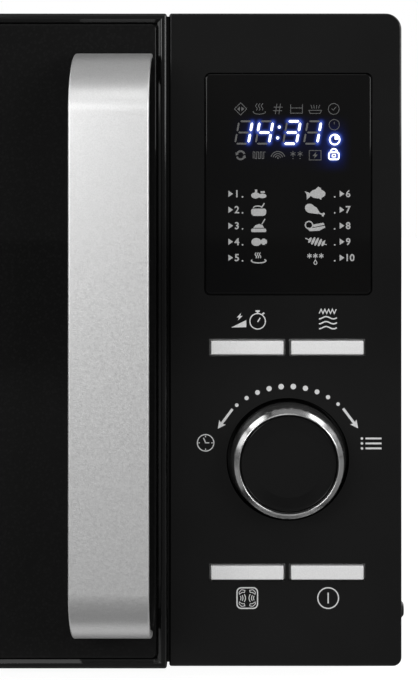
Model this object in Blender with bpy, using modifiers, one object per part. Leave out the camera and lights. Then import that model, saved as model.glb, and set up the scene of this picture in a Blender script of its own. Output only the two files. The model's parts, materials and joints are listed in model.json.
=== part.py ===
"""A 23 litre countertop microwave oven with a grill, as an assembly of its real pieces.

Blender works in metres. Lengths in this file are in millimetres, and the helper functions
turn them into metres. X is to the right as a user sees the oven, Z is up, and a depth is
measured backwards (+Y) from the front plane of the control panel. The origin is the
bottom centre of the whole oven, on the surface that its feet stand on.
"""

import math

import bmesh
import bpy
from mathutils import Matrix, Vector

MM = 0.001
GAP = 0.3  # air left between pieces that touch

# Driving dimensions
WIDTH = 485.0
HEIGHT = 287.0
FOOT_HEIGHT = 10.0
HANDLE_REACH = 37.0  # how far the handle stands off the door
DOOR_PROUD = 3.5  # how far the door stands in front of the control panel
BODY_DEPTH = 361.2  # control panel plane to the back of the back plate
SPACER_DEPTH = 8.3
SHEET = 0.8  # steel sheet of the chassis
FLOOR_TOP = FOOT_HEIGHT + SHEET + GAP  # what the parts on the base plate stand at

SIDE = WIDTH / 2
FRONT_Z = (FOOT_HEIGHT, HEIGHT)
HANDLE_FRONT = -(HANDLE_REACH + DOOR_PROUD)
DEEPEST = BODY_DEPTH + SPACER_DEPTH
FRONT_Y = -(HANDLE_FRONT + DEEPEST) / 2  # world Y of the control panel's front plane

# Control panel
PANEL_X = (145.25, SIDE)
PANEL_WALL = 3.0
PANEL_BACK = 29.7
SEAM_LIP = (143.9, 3.0)  # X and depth of the panel's lip, which closes the seam beside the door
TOP_RADIUS, BOTTOM_RADIUS, SEAM_RADIUS = 6.8, 3.7, 1.0
WINDOW_X = (158.9, 229.9)
WINDOW_Z = (167.5, 261.6)
BUTTON_SIZE = (30.8, 5.9)
BUTTON_X = (177.0, 210.9)
BUTTON_Z = (145.25, 49.95)
BUTTON_PROUD = 1.2
KNOB_AT = (194.2, 97.85)
KNOB_HEIGHT = 13.0
KNOB_RADIUS = 23.9
KNOB_WELL_RADIUS = 25.6
BOARD = (19.0, 20.6)

# Door
DOOR_X = (-SIDE, 143.0)
DOOR_Z = (FOOT_HEIGHT, HEIGHT - 0.4)
GLASS_MARGIN = 4.2
PIVOT = (-SIDE + 9.0, 12.0)  # X and depth of the hinge line
DOOR_BACK = 28.5
HOOK_Z = (70.0, 228.0)
HOOK_X = (132.0, 136.0)
SLOT_X = (129.5, 139.8)  # wide enough for the arc that a hook swings through
HANDLE_X = (105.0, 137.3)
HANDLE_Z = (25.1, 269.4)
HANDLE_BEND = 26.0
HANDLE_STAND = 0.6  # between the ends of the handle and the glass

# Chassis
FRAME_PLATE = (30.0, 30.0 + SHEET)
REAR_SHEETS = 31.5  # the first depth behind the front plate
CAVITY_X = (-212.0, 118.0)
CAVITY_Z = (40.0, 252.0)
CAVITY_DEPTH = (REAR_SHEETS, 343.5)
CAVITY_WALL = 0.7
CAVITY_RADIUS = 8.0
WRAPPER_X = 241.5
WRAPPER_TOP = 286.5

# Turntable
TABLE_AT = ((CAVITY_X[0] + CAVITY_X[1]) / 2, 188.0)
TRAY_RADIUS = 135.0
TRAY_UNDER = 56.0
ROLLER_RADIUS = 7.7
ROLLER_TRACK = 95.5
ROLLER_Z = 48.0

# Cooling fan and magnetron
FAN_AT = (182.0, 165.0)
ANTENNA_AT = (150.0, 162.0)  # depth and Z
WAVEGUIDE_X = (CAVITY_X[1] + CAVITY_WALL + GAP, 150.0)


def clear_scene():
    for obj in list(bpy.data.objects):
        bpy.data.objects.remove(obj)


clear_scene()
PARTS = bpy.data.collections.new("microwave_oven")
TOOLS = bpy.data.collections.new("cutters")
for _group in (PARTS, TOOLS):
    bpy.context.scene.collection.children.link(_group)


def material(name, colour, roughness, metallic=0.0):
    made = bpy.data.materials.new(name)
    made.use_nodes = True
    shader = made.node_tree.nodes["Principled BSDF"]
    shader.inputs["Base Color"].default_value = (*colour, 1.0)
    shader.inputs["Roughness"].default_value = roughness
    shader.inputs["Metallic"].default_value = metallic
    return made


GLOSS_BLACK = material("gloss_black_plastic", (0.012, 0.012, 0.013), 0.15)
MATT_BLACK = material("matt_black_plastic", (0.02, 0.02, 0.022), 0.5)
BLACK_GLASS = material("black_glass", (0.006, 0.006, 0.007), 0.05)
SMOKED_LENS = material("smoked_lens", (0.006, 0.006, 0.008), 0.1)
BLACK_PAINT = material("black_painted_steel", (0.018, 0.018, 0.02), 0.4)
SILVER_PAINT = material("silver_painted_plastic", (0.62, 0.62, 0.62), 0.35, 0.6)
CHROME = material("chrome_ring", (0.8, 0.8, 0.8), 0.06, 1.0)
GALVANISED = material("galvanised_steel", (0.55, 0.56, 0.57), 0.38, 1.0)
CAVITY_PAINT = material("grey_cavity_enamel", (0.42, 0.42, 0.41), 0.35)
CLEAR_GLASS = material("clear_glass", (0.8, 0.86, 0.85), 0.03)
MICA = material("mica_sheet", (0.55, 0.47, 0.36), 0.6)
LAMINATION = material("transformer_steel", (0.25, 0.24, 0.23), 0.45, 1.0)
COPPER = material("copper_winding", (0.62, 0.28, 0.12), 0.35, 1.0)
CAN = material("aluminium_can", (0.7, 0.7, 0.7), 0.35, 1.0)
BOARD_GREEN = material("circuit_board", (0.03, 0.16, 0.07), 0.5)
WHITE_NYLON = material("white_nylon", (0.78, 0.78, 0.75), 0.5)
HEATER_STEEL = material("heater_sheath", (0.16, 0.15, 0.14), 0.45, 1.0)
RUBBER = material("black_rubber", (0.02, 0.02, 0.02), 0.85)
ZINC = material("zinc_screw", (0.6, 0.6, 0.58), 0.3, 1.0)


def world(x, depth, z):
    """A point in metres, from X, the depth behind the panel plane, and Z in millimetres."""
    return Vector((x * MM, (FRONT_Y + depth) * MM, z * MM))


def add_object(name, mesh, skin):
    """An object in the parts collection, or a hidden cutter where there is no skin."""
    obj = bpy.data.objects.new(name, mesh)
    if skin is None:
        TOOLS.objects.link(obj)
        obj.hide_render = True
        obj.display_type = "WIRE"
    else:
        PARTS.objects.link(obj)
        obj.data.materials.append(skin)
    return obj


def from_bmesh(name, bm, skin):
    mesh = bpy.data.meshes.new(name)
    bm.to_mesh(mesh)
    bm.free()
    return add_object(name, mesh, skin)


def cube_into(bm, x, depth, z):
    low, high = world(x[0], depth[0], z[0]), world(x[1], depth[1], z[1])
    place = Matrix.Translation((low + high) / 2) @ Matrix.Diagonal((*(high - low), 1.0))
    bmesh.ops.create_cube(bm, size=1.0, matrix=place)


def box(name, x, depth, z, skin, edge=0.0):
    """A box from its spans, with every edge chamfered by edge where that is given."""
    bm = bmesh.new()
    cube_into(bm, x, depth, z)
    if edge:
        bmesh.ops.bevel(bm, geom=bm.edges[:], offset=edge * MM, segments=1, affect="EDGES")
    return from_bmesh(name, bm, skin)


def boxes(name, spans):
    """One cutter made of many boxes."""
    bm = bmesh.new()
    for x, depth, z in spans:
        cube_into(bm, x, depth, z)
    return from_bmesh(name, bm, None)


def corner_edge(bm, axis, corner):
    """The edge along axis at the corner that the two signs name."""
    others = [i for i in range(3) if i != axis]
    along = [
        e for e in bm.edges if abs((e.verts[0].co - e.verts[1].co).normalized()[axis]) > 0.999
    ]
    return max(
        along,
        key=lambda e: sum(
            sign * (e.verts[0].co + e.verts[1].co)[i] for i, sign in zip(others, corner)
        ),
    )


def rounded(name, x, depth, z, radii, skin, axis=1, segments=4, lip=0.0):
    """A box whose four edges along axis have radii (in the order --, +-, -+, ++).

    lip rounds the rim of its front face.
    """
    bm = bmesh.new()
    cube_into(bm, x, depth, z)
    corners = ((-1, -1), (1, -1), (-1, 1), (1, 1))
    for corner, radius in zip(corners, radii):
        if radius:
            edge = corner_edge(bm, axis, corner)
            bmesh.ops.bevel(
                bm, geom=[edge], offset=radius * MM, segments=segments, affect="EDGES", profile=0.5
            )
    if lip:
        front = min(v.co.y for v in bm.verts)
        rim = [e for e in bm.edges if all(abs(v.co.y - front) < 1e-6 for v in e.verts)]
        bmesh.ops.bevel(bm, geom=rim, offset=lip * MM, segments=2, affect="EDGES", profile=0.5)
    return from_bmesh(name, bm, skin)


AXIS_TURN = {
    "X": Matrix.Rotation(math.pi / 2, 4, "Y"),
    "Y": Matrix.Rotation(-math.pi / 2, 4, "X"),
    "-Y": Matrix.Rotation(math.pi / 2, 4, "X"),
    "-X": Matrix.Rotation(-math.pi / 2, 4, "Y"),
    "Z": Matrix.Identity(4),
}


def cylinder(name, base, radius, length, axis, skin, sides=24, tip=None, turn=None):
    """A cylinder or cone that starts at base and runs for length along axis."""
    bm = bmesh.new()
    bmesh.ops.create_cone(
        bm,
        cap_ends=True,
        segments=sides,
        radius1=radius * MM,
        radius2=(radius if tip is None else tip) * MM,
        depth=length * MM,
        matrix=Matrix.Translation((0, 0, length * MM / 2)),
    )
    bm.transform(Matrix.Translation(world(*base)) @ (turn or AXIS_TURN[axis]))
    return from_bmesh(name, bm, skin)


def turned(name, base, axis, profile, skin, steps=40, closed=False):
    """A turned piece. Its profile is (radius, height) along axis, down the outer side."""
    mesh = bpy.data.meshes.new(name)
    points = [(radius * MM, 0.0, height * MM) for radius, height in profile]
    edges = [(i, i + 1) for i in range(len(points) - 1)]
    if closed:
        edges.append((len(points) - 1, 0))
    mesh.from_pydata(points, edges, [])
    obj = add_object(name, mesh, skin)
    obj.matrix_world = Matrix.Translation(world(*base)) @ AXIS_TURN[axis]
    screw = obj.modifiers.new("turn", "SCREW")
    screw.axis = "Z"
    screw.steps = screw.render_steps = steps
    screw.use_merge_vertices = True
    screw.merge_threshold = 1e-5
    screw.use_smooth_shade = True
    return obj


def combine(obj, others, operation):
    for other in others:
        modifier = obj.modifiers.new(other.name, "BOOLEAN")
        modifier.operation = operation
        modifier.object = other
        modifier.solver = "EXACT"
    return obj


def cut(obj, *tools):
    return combine(obj, tools, "DIFFERENCE")


def join(obj, *tools):
    return combine(obj, tools, "UNION")


def around(centre, half):
    return centre - half, centre + half


def grid(x_values, depth_values, z_values):
    """Every combination of the spans given for the three directions."""
    return [(x, depth, z) for x in x_values for depth in depth_values for z in z_values]


def spans(start, size, pitch, count):
    return [(start + i * pitch, start + i * pitch + size) for i in range(count)]


# Chassis


def outer_wrapper():
    """The painted U-shaped cover: a top and two sides, with vents at the rear of the sides."""
    outside = rounded(
        "outer_wrapper",
        (-WRAPPER_X, WRAPPER_X),
        (REAR_SHEETS, BODY_DEPTH + 0.4),
        (FOOT_HEIGHT + 1.8, WRAPPER_TOP),
        (0, 0, 7.0, 7.0),
        BLACK_PAINT,
    )
    inner = WRAPPER_X - 0.9
    hollow = rounded(
        "wrapper_hollow",
        (-inner, inner),
        (REAR_SHEETS - 10, DEEPEST + 10),
        (0, WRAPPER_TOP - 0.9),
        (0, 0, 6.1, 6.1),
        None,
    )
    vents = boxes(
        "wrapper_vents",
        grid(
            [(-WRAPPER_X - 5, -inner + 5), (inner - 5, WRAPPER_X + 5)],
            spans(238, 30, 40, 2),
            spans(60, 4, 12, 5),
        ),
    )
    holes = [
        cylinder(f"wrapper_screw_hole_{side}", (x, SCREW_AT[0], SCREW_AT[1]), 2.1, 10, "X", None, 12)
        for side, x in (("left", -WRAPPER_X - 5), ("right", WRAPPER_X - 5))
    ]
    return cut(outside, hollow, vents, *holes)


SCREW_AT = (37.5, 24.2)  # depth and Z of the side screws
SIDE_HEAD = 6.0


def base_plate():
    plate = box(
        "base_plate",
        (-WRAPPER_X + 1.2, WRAPPER_X - 1.2),
        (REAR_SHEETS, BODY_DEPTH - 1.5),
        (FOOT_HEIGHT, FOOT_HEIGHT + SHEET),
        GALVANISED,
    )
    vents = boxes("base_vents", grid(spans(140, 30, 42, 2), spans(255, 4, 12, 4), [(0, 20)]))
    motor_panel = cylinder("base_motor_hole", (*TABLE_AT, 0), 22, 30, "Z", None, 20)
    return cut(plate, vents, motor_panel)


def back_plate():
    plate = rounded(
        "back_plate",
        (-WRAPPER_X + 1.2, WRAPPER_X - 1.2),
        (BODY_DEPTH - SHEET, BODY_DEPTH),
        (FOOT_HEIGHT + 1.5, WRAPPER_TOP - 1.2),
        (0, 0, 6.0, 6.0),
        GALVANISED,
    )
    through = (BODY_DEPTH - 10, BODY_DEPTH + 10)
    vents = boxes(
        "back_vents",
        grid(spans(134, 44, 50, 2), [through], spans(122, 4, 12, 8))
        + grid(spans(-200, 40, 48, 2), [through], spans(200, 4, 12, 4)),
    )
    cord_hole = cylinder("cord_hole", (GLAND_AT[0], through[0], GLAND_AT[1]), 8.2, 20, "Y", None, 20)
    screw_holes = [
        cylinder(f"back_screw_hole_{i}", (x, through[0], z), 2.1, 20, "Y", None, 12)
        for i, (x, z) in enumerate(BACK_SCREWS)
    ]
    return cut(plate, vents, cord_hole, *screw_holes)


GLAND_AT = (205.0, 42.0)
BACK_SCREWS = ((-228.0, 262.0), (0.0, 276.0), (228.0, 262.0))


def slot_cutters(name, x, depth, below, above):
    """The two openings that the door hooks go through, from below to above each hook's middle."""
    return boxes(name, [(x, depth, (z - below, z + above)) for z in HOOK_Z])


def front_frame():
    """The flat steel front that the door closes on, with the way into the cavity."""
    plate = rounded(
        "front_frame",
        (-WRAPPER_X, WRAPPER_X),
        FRAME_PLATE,
        (FOOT_HEIGHT + GAP, WRAPPER_TOP),
        (0, 0, 7.0, 7.0),
        BLACK_PAINT,
    )
    through = (FRAME_PLATE[0] - 10, FRAME_PLATE[1] + 10)
    mouth = rounded("cavity_mouth", CAVITY_X, through, CAVITY_Z, (CAVITY_RADIUS,) * 4, None)
    wiring = box("wiring_opening", (155, 235), through, (25, 272), None)
    return cut(plate, mouth, wiring, slot_cutters("frame_slots", SLOT_X, through, 11.5, 12.5))


def round_holes(name, start, step_depth, step_z, counts, radius):
    """A grid of short cylinders along X that perforates a cavity wall."""
    bm = bmesh.new()
    for i in range(counts[0]):
        for j in range(counts[1]):
            at = world(start[0], start[1] + i * step_depth, start[2] + j * step_z)
            bmesh.ops.create_cone(
                bm,
                cap_ends=True,
                segments=6,
                radius1=radius * MM,
                radius2=radius * MM,
                depth=10 * MM,
                matrix=Matrix.Translation(at) @ AXIS_TURN["X"],
            )
    return from_bmesh(name, bm, None)


def cavity_liner():
    """The enamelled steel oven cavity, open at the front."""
    wall = CAVITY_WALL
    shell = rounded(
        "cavity_liner",
        (CAVITY_X[0] - wall, CAVITY_X[1] + wall),
        (CAVITY_DEPTH[0], CAVITY_DEPTH[1] + wall),
        (CAVITY_Z[0] - wall, CAVITY_Z[1] + wall),
        (CAVITY_RADIUS + wall,) * 4,
        CAVITY_PAINT,
    )
    inside = rounded(
        "cavity_inside",
        CAVITY_X,
        (CAVITY_DEPTH[0] - 10, CAVITY_DEPTH[1]),
        CAVITY_Z,
        (CAVITY_RADIUS,) * 4,
        None,
    )
    feed = box("waveguide_feed", (CAVITY_X[1] - 5, CAVITY_X[1] + 5), (180, 250), (130, 180), None)
    shaft = cylinder("shaft_hole", (*TABLE_AT, CAVITY_Z[0] - 5), 6, 10, "Z", None, 16)
    heater = [
        cylinder(f"heater_hole_{i}", (HEATER_X[0], depth, CAVITY_Z[1] - 5), 5, 10, "Z", None, 12)
        for i, depth in enumerate(HEATER_RUNS)
    ]
    lamp = round_holes("lamp_holes", (CAVITY_X[1], 90, 207), 7, 7, (4, 3), 2.2)
    exhaust = round_holes("exhaust_holes", (CAVITY_X[0], 262, 190), 8, 8, (5, 3), 2.5)
    return cut(shell, inside, feed, shaft, *heater, lamp, exhaust)


def screw(name, base, axis, head=4.4):
    """A pan head screw with its washer, whose shank goes through the sheet behind it."""
    crown = [(0, head), (2.6, head - 0.4), (3.9, head - 2.2), (3.9, 1.1), (4.7, 1.1), (4.7, 0.0)]
    shank = [(1.6, 0.0), (1.6, -6.0), (0, -6.0)]
    return turned(name, base, axis, crown + shank, ZINC, steps=12)


def side_screws():
    off = WRAPPER_X + GAP
    screw("side_screw_left", (-off, *SCREW_AT), "-X", SIDE_HEAD)
    screw("side_screw_right", (off, *SCREW_AT), "X", SIDE_HEAD)


def back_screws():
    for name, (x, z) in zip(("left", "middle", "right"), BACK_SCREWS):
        screw(f"back_screw_{name}", (x, BODY_DEPTH + GAP, z), "Y")


def feet():
    """Four rubber feet, set back so that the front hides them."""
    for end, depth in (("front", 85.0), ("rear", 320.0)):
        for side, x in (("left", -195.0), ("right", 195.0)):
            top = FOOT_HEIGHT - GAP
            profile = [(0, top), (13.0, top), (13.0, top - 2), (11.5, 1.0), (10.5, 0), (0, 0)]
            turned(f"foot_{end}_{side}", (x, depth, 0), "Z", profile, RUBBER, steps=20)


def rear_spacer():
    """The moulded block that keeps the back clear of a wall."""
    box("rear_spacer", (-42, 42), (BODY_DEPTH + GAP, DEEPEST), (226, 252), MATT_BLACK, 2.0)


def cord_gland():
    """The bushing in the back plate that the power cord would come out of."""
    profile = [(4.0, 4.5), (8.8, 4.5), (10.5, 3.0), (10.5, GAP), (7.8, GAP), (7.8, -5.0), (4.0, -5.0)]
    at = (GLAND_AT[0], BODY_DEPTH, GLAND_AT[1])
    turned("cord_gland", at, "Y", profile, RUBBER, steps=16, closed=True)


# Microwave source, high voltage and cooling


def waveguide():
    shell = box("waveguide", WAVEGUIDE_X, (120, 262), (118, 205), GALVANISED)
    inside = box("waveguide_inside", (110, WAVEGUIDE_X[1] - 1), (121, 261), (119, 204), None)
    hole = cylinder("antenna_hole", (WAVEGUIDE_X[1] - 5, *ANTENNA_AT), 11, 10, "X", None, 20)
    return cut(shell, inside, hole)


def waveguide_cover():
    """The mica sheet over the feed opening, on the cavity's right wall."""
    face = CAVITY_X[1] - GAP
    box("waveguide_cover", (face - 0.8, face), (168, 262), (120, 190), MICA, 0.2)


def magnetron():
    """Steel yoke with the anode and its cooling fins across it, the antenna and filter box."""
    start, depth, z = WAVEGUIDE_X[1] + GAP, ANTENNA_AT[0], ANTENNA_AT[1]
    end, plate = 215, 2.5
    yoke = box("magnetron", (start, end), around(depth, 38), around(z, 40), GALVANISED)
    inside = inward((start, end), plate)
    cut(yoke, box("magnetron_airway", inside, around(depth, 50), around(z, 40 - plate), None))
    anode = cylinder("anode", (start + 1, depth, z), 18, end - start - 2, "X", None, 20)
    bm = bmesh.new()
    for x in spans(165, 1.2, 8, 5):
        cube_into(bm, x, around(depth, 34), around(z, 31))
    fins = from_bmesh("magnetron_fins", bm, None)
    antenna = cylinder("antenna", (126, depth, z), 7, 30, "X", None, 16)
    filter_box = box("magnetron_filter", (212, 236), around(depth, 24), around(z, 22), None)
    return join(yoke, fins, anode, antenna, filter_box)


def transformer():
    """Laminated core with two windows, and the winding round its middle leg."""
    core = box("transformer_core", (140, 222), (90, 160), (FLOOR_TOP, 82), LAMINATION)
    windows = boxes("core_windows", grid([(152, 168), (194, 210)], [(80, 170)], [(26, 70)]))
    cut(core, windows)
    coil = rounded(
        "transformer_coil", (153, 209), (75, 175), (27, 69), (10,) * 4, COPPER, axis=2, segments=3
    )
    leg = rounded("coil_leg", (167.2, 194.8), (89.2, 160.8), (20, 75), (1,) * 4, None, axis=2)
    cut(coil, leg)


def hv_capacitor():
    can = rounded(
        "hv_capacitor", (186, 232), (198, 226), (FLOOR_TOP, 92), (13,) * 4, CAN, axis=2
    )
    tabs = [
        box(f"capacitor_tab_{i}", (x, x + 7), (211.5, 212.5), (90, 101), None)
        for i, x in enumerate((194, 216))
    ]
    return join(can, *tabs)


def fan_duct():
    """The air guide behind the magnetron, with a bracket across it for the motor."""
    x, z = FAN_AT
    plate = box("fan_duct", (126, 238), (296, 299), (105, 228), MATT_BLACK)
    throat = cylinder("duct_throat", (x, 280, z), 48, 40, "Y", None, 24)
    wide = cylinder("duct_collar", (x, 298, z), 51, 30, "Y", None, 24)
    bore = cylinder("duct_bore", (x, 290, z), 48.6, 50, "Y", None, 24)
    hub = cylinder("duct_hub", (x, 296, z), 18, 3, "Y", None, 16)
    spokes = boxes(
        "duct_spokes",
        [(around(x, 50), (296.2, 298.8), around(z, 4)), (around(x, 4), (296.4, 298.6), around(z, 50))],
    )
    shaft = cylinder("duct_shaft_hole", (x, 290, z), 4.5, 20, "Y", None, 16)
    cut(plate, throat)
    join(plate, cut(wide, bore), spokes, hub)
    return cut(plate, shaft)


def fan_motor():
    x, z = FAN_AT
    stack = rounded("fan_motor", around(x, 22), (268, 295.7), around(z, 24), (4,) * 4, LAMINATION)
    bobbin = box("fan_bobbin", around(x, 13), (262, 294), (z - 40, z - 20), None, 2.0)
    bore = cylinder("fan_motor_bore", (x, 280, z), 2.9, 20, "Y", None, 12)
    return cut(join(stack, bobbin), bore)


def fan_blade():
    """Hub, shaft and seven pitched blades, turning about the hub's axis."""
    x, z = FAN_AT
    hub = turned(
        "fan_blade",
        (x, 304, z),
        "Y",
        [(0, 22), (9, 22), (11, 20), (11, 0), (2.5, 0), (2.5, -20), (0, -20)],
        MATT_BLACK,
        steps=21,
    )
    bm = bmesh.new()
    pitch = Matrix.Rotation(math.radians(32), 4, "X")
    blade = Matrix.Translation((26.5 * MM, 0, 0)) @ pitch @ Matrix.Diagonal((37, 1.6, 22, 1)) @ Matrix.Scale(MM, 4)
    for i in range(7):
        around_hub = Matrix.Rotation(2 * math.pi * i / 7, 4, "Z")
        bmesh.ops.create_cube(bm, size=1.0, matrix=around_hub @ blade)
    bm.transform(Matrix.Translation(world(x, 315, z)) @ AXIS_TURN["Y"])
    return join(hub, from_bmesh("fan_blades", bm, None))


def cavity_lamp():
    """Lamp with its holder, behind the perforated patch in the cavity's right wall."""
    profile = [(0, 46), (8, 46), (8, 26), (10, 20), (10, 8), (6, 2.5), (0, 1.5)]
    turned("cavity_lamp", (CAVITY_X[1] + 3, 100, 214), "X", profile, WHITE_NYLON, steps=16)


def noise_filter():
    """The mains filter board inside the back plate, with its choke and capacitor."""
    board = box("noise_filter", (150, 225), (352, 353.6), (238, 276), BOARD_GREEN)
    legs = boxes("filter_legs", grid([(153, 158), (217, 222)], [(353, BODY_DEPTH - SHEET - GAP)], [(242, 247), (267, 272)]))
    choke = cylinder("filter_choke", (172, 338, 257), 12, 15, "Y", None, 16)
    capacitor = box("filter_capacitor", (192, 214), (340, 353), (247, 267), None)
    return join(board, legs, choke, capacitor)


HEATER_X = (-150.0, 62.0)
HEATER_RUNS = (124.0, 168.0)
HEATER_Z = 241.0
HEATER_TOP = 262.0


def grill_heater():
    """A sheathed element under the ceiling: up through it, along, round a bend and back."""
    near, far = HEATER_RUNS
    turn_radius, bend = (far - near) / 2, 9.0
    x0, x1 = HEATER_X
    corner = [
        (x0 + bend * (1 - math.cos(a)), HEATER_Z + bend * (1 - math.sin(a)))
        for a in (math.radians(d) for d in (0, 22.5, 45, 67.5, 90))
    ]
    out = [(x0, near, HEATER_TOP)] + [(x, near, z) for x, z in corner]
    half_turn = [math.radians(d) for d in range(-90, 91, 15)]
    loop = [
        (x1 + turn_radius * math.cos(a), near + turn_radius * (1 + math.sin(a)), HEATER_Z)
        for a in half_turn
    ]
    back = [(x, far, z) for x, _, z in reversed(out)]
    path = out + loop + back
    curve = bpy.data.curves.new("grill_heater", "CURVE")
    curve.dimensions = "3D"
    curve.bevel_depth = 3.25 * MM
    curve.bevel_resolution = 2
    curve.use_fill_caps = True
    spline = curve.splines.new("POLY")
    spline.points.add(len(path) - 1)
    for point, at in zip(spline.points, path):
        point.co = (*world(*at), 1.0)
    add_object("grill_heater", curve, HEATER_STEEL)


# Door, hinges and latch


def door_frame():
    """The door's moulded frame: a rim round the glass, side walls and the hinge sockets."""
    x, z = DOOR_X, DOOR_Z
    frame = rounded(
        "door_frame",
        x,
        (-DOOR_PROUD, DOOR_BACK),
        z,
        (BOTTOM_RADIUS, SEAM_RADIUS, TOP_RADIUS, SEAM_RADIUS),
        GLOSS_BLACK,
        lip=1.1,
    )
    glass_seat = rounded(
        "glass_seat",
        (x[0] + GLASS_MARGIN, x[1] - GLASS_MARGIN),
        (-DOOR_PROUD - 5, 0.1),
        (z[0] + GLASS_MARGIN, z[1] - GLASS_MARGIN),
        (2.0,) * 4,
        None,
    )
    hollow = box("door_hollow", (x[0] + 3, x[1] - 3), (3, 40), (z[0] + 3, z[1] - 3), None)
    window = rounded("door_window_cut", (-215, 121), (-10, 10), (37, 260), (6,) * 4, None)
    heel = box("door_heel_cut", (-SIDE - 10, PIVOT[0] + 4), (22, 40), (0, 300), None)
    sockets = [
        box(f"hinge_socket_{i}", (x[0] + 2, PIVOT[0] + 5.5), (1.5, 18), span, None)
        for i, span in enumerate(SOCKETS)
    ]
    bores = cylinder("hinge_bores", (*PIVOT, 15), 3.4, 267, "Z", None, 20)
    notches = boxes(
        "hinge_notches", [((x[0] - 5, x[0] + 5), (4.5, 40), span) for span in HINGE_NOTCHES]
    )
    cut(frame, glass_seat, hollow, window, heel)
    join(frame, *sockets)
    return cut(frame, bores, notches)


def mirrored(span):
    """A Z span on the door's upper half that matches one on its lower half."""
    middle = FRONT_Z[0] + FRONT_Z[1]
    return middle - span[1], middle - span[0]


SOCKETS = ((24.5, 36.0), mirrored((24.5, 36.0)))
HINGE_NOTCHES = ((18.0, 25.0), mirrored((18.0, 25.0)))
HINGE_ARM = (20.0, 23.0)
HINGE_PIN = (22.0, 33.0)


def hinge(name, arm, pin, foot):
    """A steel bracket on the front frame whose pin stands in a socket of the door."""
    bracket = box(name, around(PIVOT[0], 3.5), (PIVOT[1] - 4, FRAME_PLATE[0] - GAP), arm, GALVANISED)
    mount = box(f"{name}_foot", around(PIVOT[0], 4.2), (28.2, FRAME_PLATE[0] - GAP), foot, None)
    post = cylinder(f"{name}_pin", (*PIVOT, pin[0]), 3.0, pin[1] - pin[0], "Z", None, 20)
    return join(bracket, mount, post)


def hinges():
    foot = (13.5, 40.0)
    hinge("hinge_lower", HINGE_ARM, HINGE_PIN, foot)
    hinge("hinge_upper", mirrored(HINGE_ARM), mirrored(HINGE_PIN), mirrored(foot))


def door_glass():
    inset = GLASS_MARGIN + GAP
    rounded(
        "door_glass",
        (DOOR_X[0] + inset, DOOR_X[1] - inset),
        (-DOOR_PROUD + GAP, -0.2),
        inward(DOOR_Z, inset),
        (1.8,) * 4,
        BLACK_GLASS,
        lip=0.4,
    )


CHOKE_X, CHOKE_Z = (-226.0, 128.5), (22.0, 271.0)
CHOKE_DEPTH = (10.0, 27.5)
CHOKE_BAND = 20.0


def inward(span, by):
    return span[0] + by, span[1] - by


def door_choke():
    """The steel inner door: a screen plate with a microwave choke channel round it."""
    steel = box("door_choke", CHOKE_X, CHOKE_DEPTH, CHOKE_Z, BLACK_PAINT)
    floor = (CHOKE_DEPTH[0] + SHEET, CHOKE_DEPTH[1] + 10)
    channel = box("choke_channel", inward(CHOKE_X, SHEET), floor, inward(CHOKE_Z, SHEET), None)
    band = CHOKE_BAND - SHEET
    core = box("choke_core", inward(CHOKE_X, band), (0, 60), inward(CHOKE_Z, band), None)
    centre = box("choke_centre", inward(CHOKE_X, CHOKE_BAND), floor, inward(CHOKE_Z, CHOKE_BAND), None)
    return cut(steel, cut(channel, core), centre)


def choke_cover():
    """The plastic trim over the choke, with slots for the two hooks."""
    ring = rounded(
        "choke_cover", (-227.5, 139.5), (27.8, 29.0), (14, 283), (3, 3, 3, 3), MATT_BLACK, segments=2
    )
    band = CHOKE_BAND + 7
    opening = rounded(
        "cover_opening", inward(CHOKE_X, band), (20, 40), inward(CHOKE_Z, band), (6,) * 4, None
    )
    return cut(ring, opening, slot_cutters("cover_slots", inward(HOOK_X, -0.8), (20, 40), 9.3, 9.8))


def inner_window():
    """The clear pane behind the screen, held by the choke cover's lip."""
    band = CHOKE_BAND + 1.2
    box("inner_window", inward(CHOKE_X, band), (24.6, 27.4), inward(CHOKE_Z, band), CLEAR_GLASS, 0.3)


def bow(inset):
    """The handle's side profile (depth, Z), moved inwards from its outer face by inset."""
    reach, bend = HANDLE_REACH - HANDLE_STAND, HANDLE_BEND
    points = []
    for low, centre in ((False, HANDLE_Z[1] - bend), (True, HANDLE_Z[0] + bend)):
        for i in range(9):
            a = math.radians(90 * (i if low else 8 - i) / 8)
            sign = -1 if low else 1
            depth = -DOOR_PROUD - HANDLE_STAND - reach * math.cos(a)
            z = centre + sign * bend * math.sin(a)
            slope = math.hypot(bend * math.cos(a), reach * math.sin(a))
            depth += inset * bend * math.cos(a) / slope
            z -= inset * sign * reach * math.sin(a) / slope
            points.append((depth, z))
    return points


def strap(name, x, inset, thickness, skin, edge):
    """A bowed strap made as an open surface along bow(inset), with its thickness inwards."""
    bm = bmesh.new()
    left = [bm.verts.new(world(x[0], depth, z)) for depth, z in bow(inset)]
    line = [bm.edges.new(pair) for pair in zip(left, left[1:])]
    made = bmesh.ops.extrude_edge_only(bm, edges=line)["geom"]
    shift = Vector(((x[1] - x[0]) * MM, 0, 0))
    bmesh.ops.translate(bm, vec=shift, verts=[v for v in made if isinstance(v, bmesh.types.BMVert)])
    bmesh.ops.recalc_face_normals(bm, faces=bm.faces[:])
    if sum(f.normal.y for f in bm.faces) > 0:
        bmesh.ops.reverse_faces(bm, faces=bm.faces[:])
    obj = from_bmesh(name, bm, skin)
    solid = obj.modifiers.new("thickness", "SOLIDIFY")
    solid.thickness = thickness * MM
    solid.offset = -1.0
    solid.use_even_offset = True
    if edge:
        bevel = obj.modifiers.new("edge", "BEVEL")
        bevel.width = edge * MM
        bevel.segments = 1
        bevel.limit_method = "ANGLE"
        bevel.angle_limit = math.radians(50)
    return obj


def handle():
    strap("handle_strip", HANDLE_X, 0.0, 2.2, SILVER_PAINT, 0.7)
    strap("handle_core", inward(HANDLE_X, 1.5), 2.5, 6.5, MATT_BLACK, 0.0)


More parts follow.
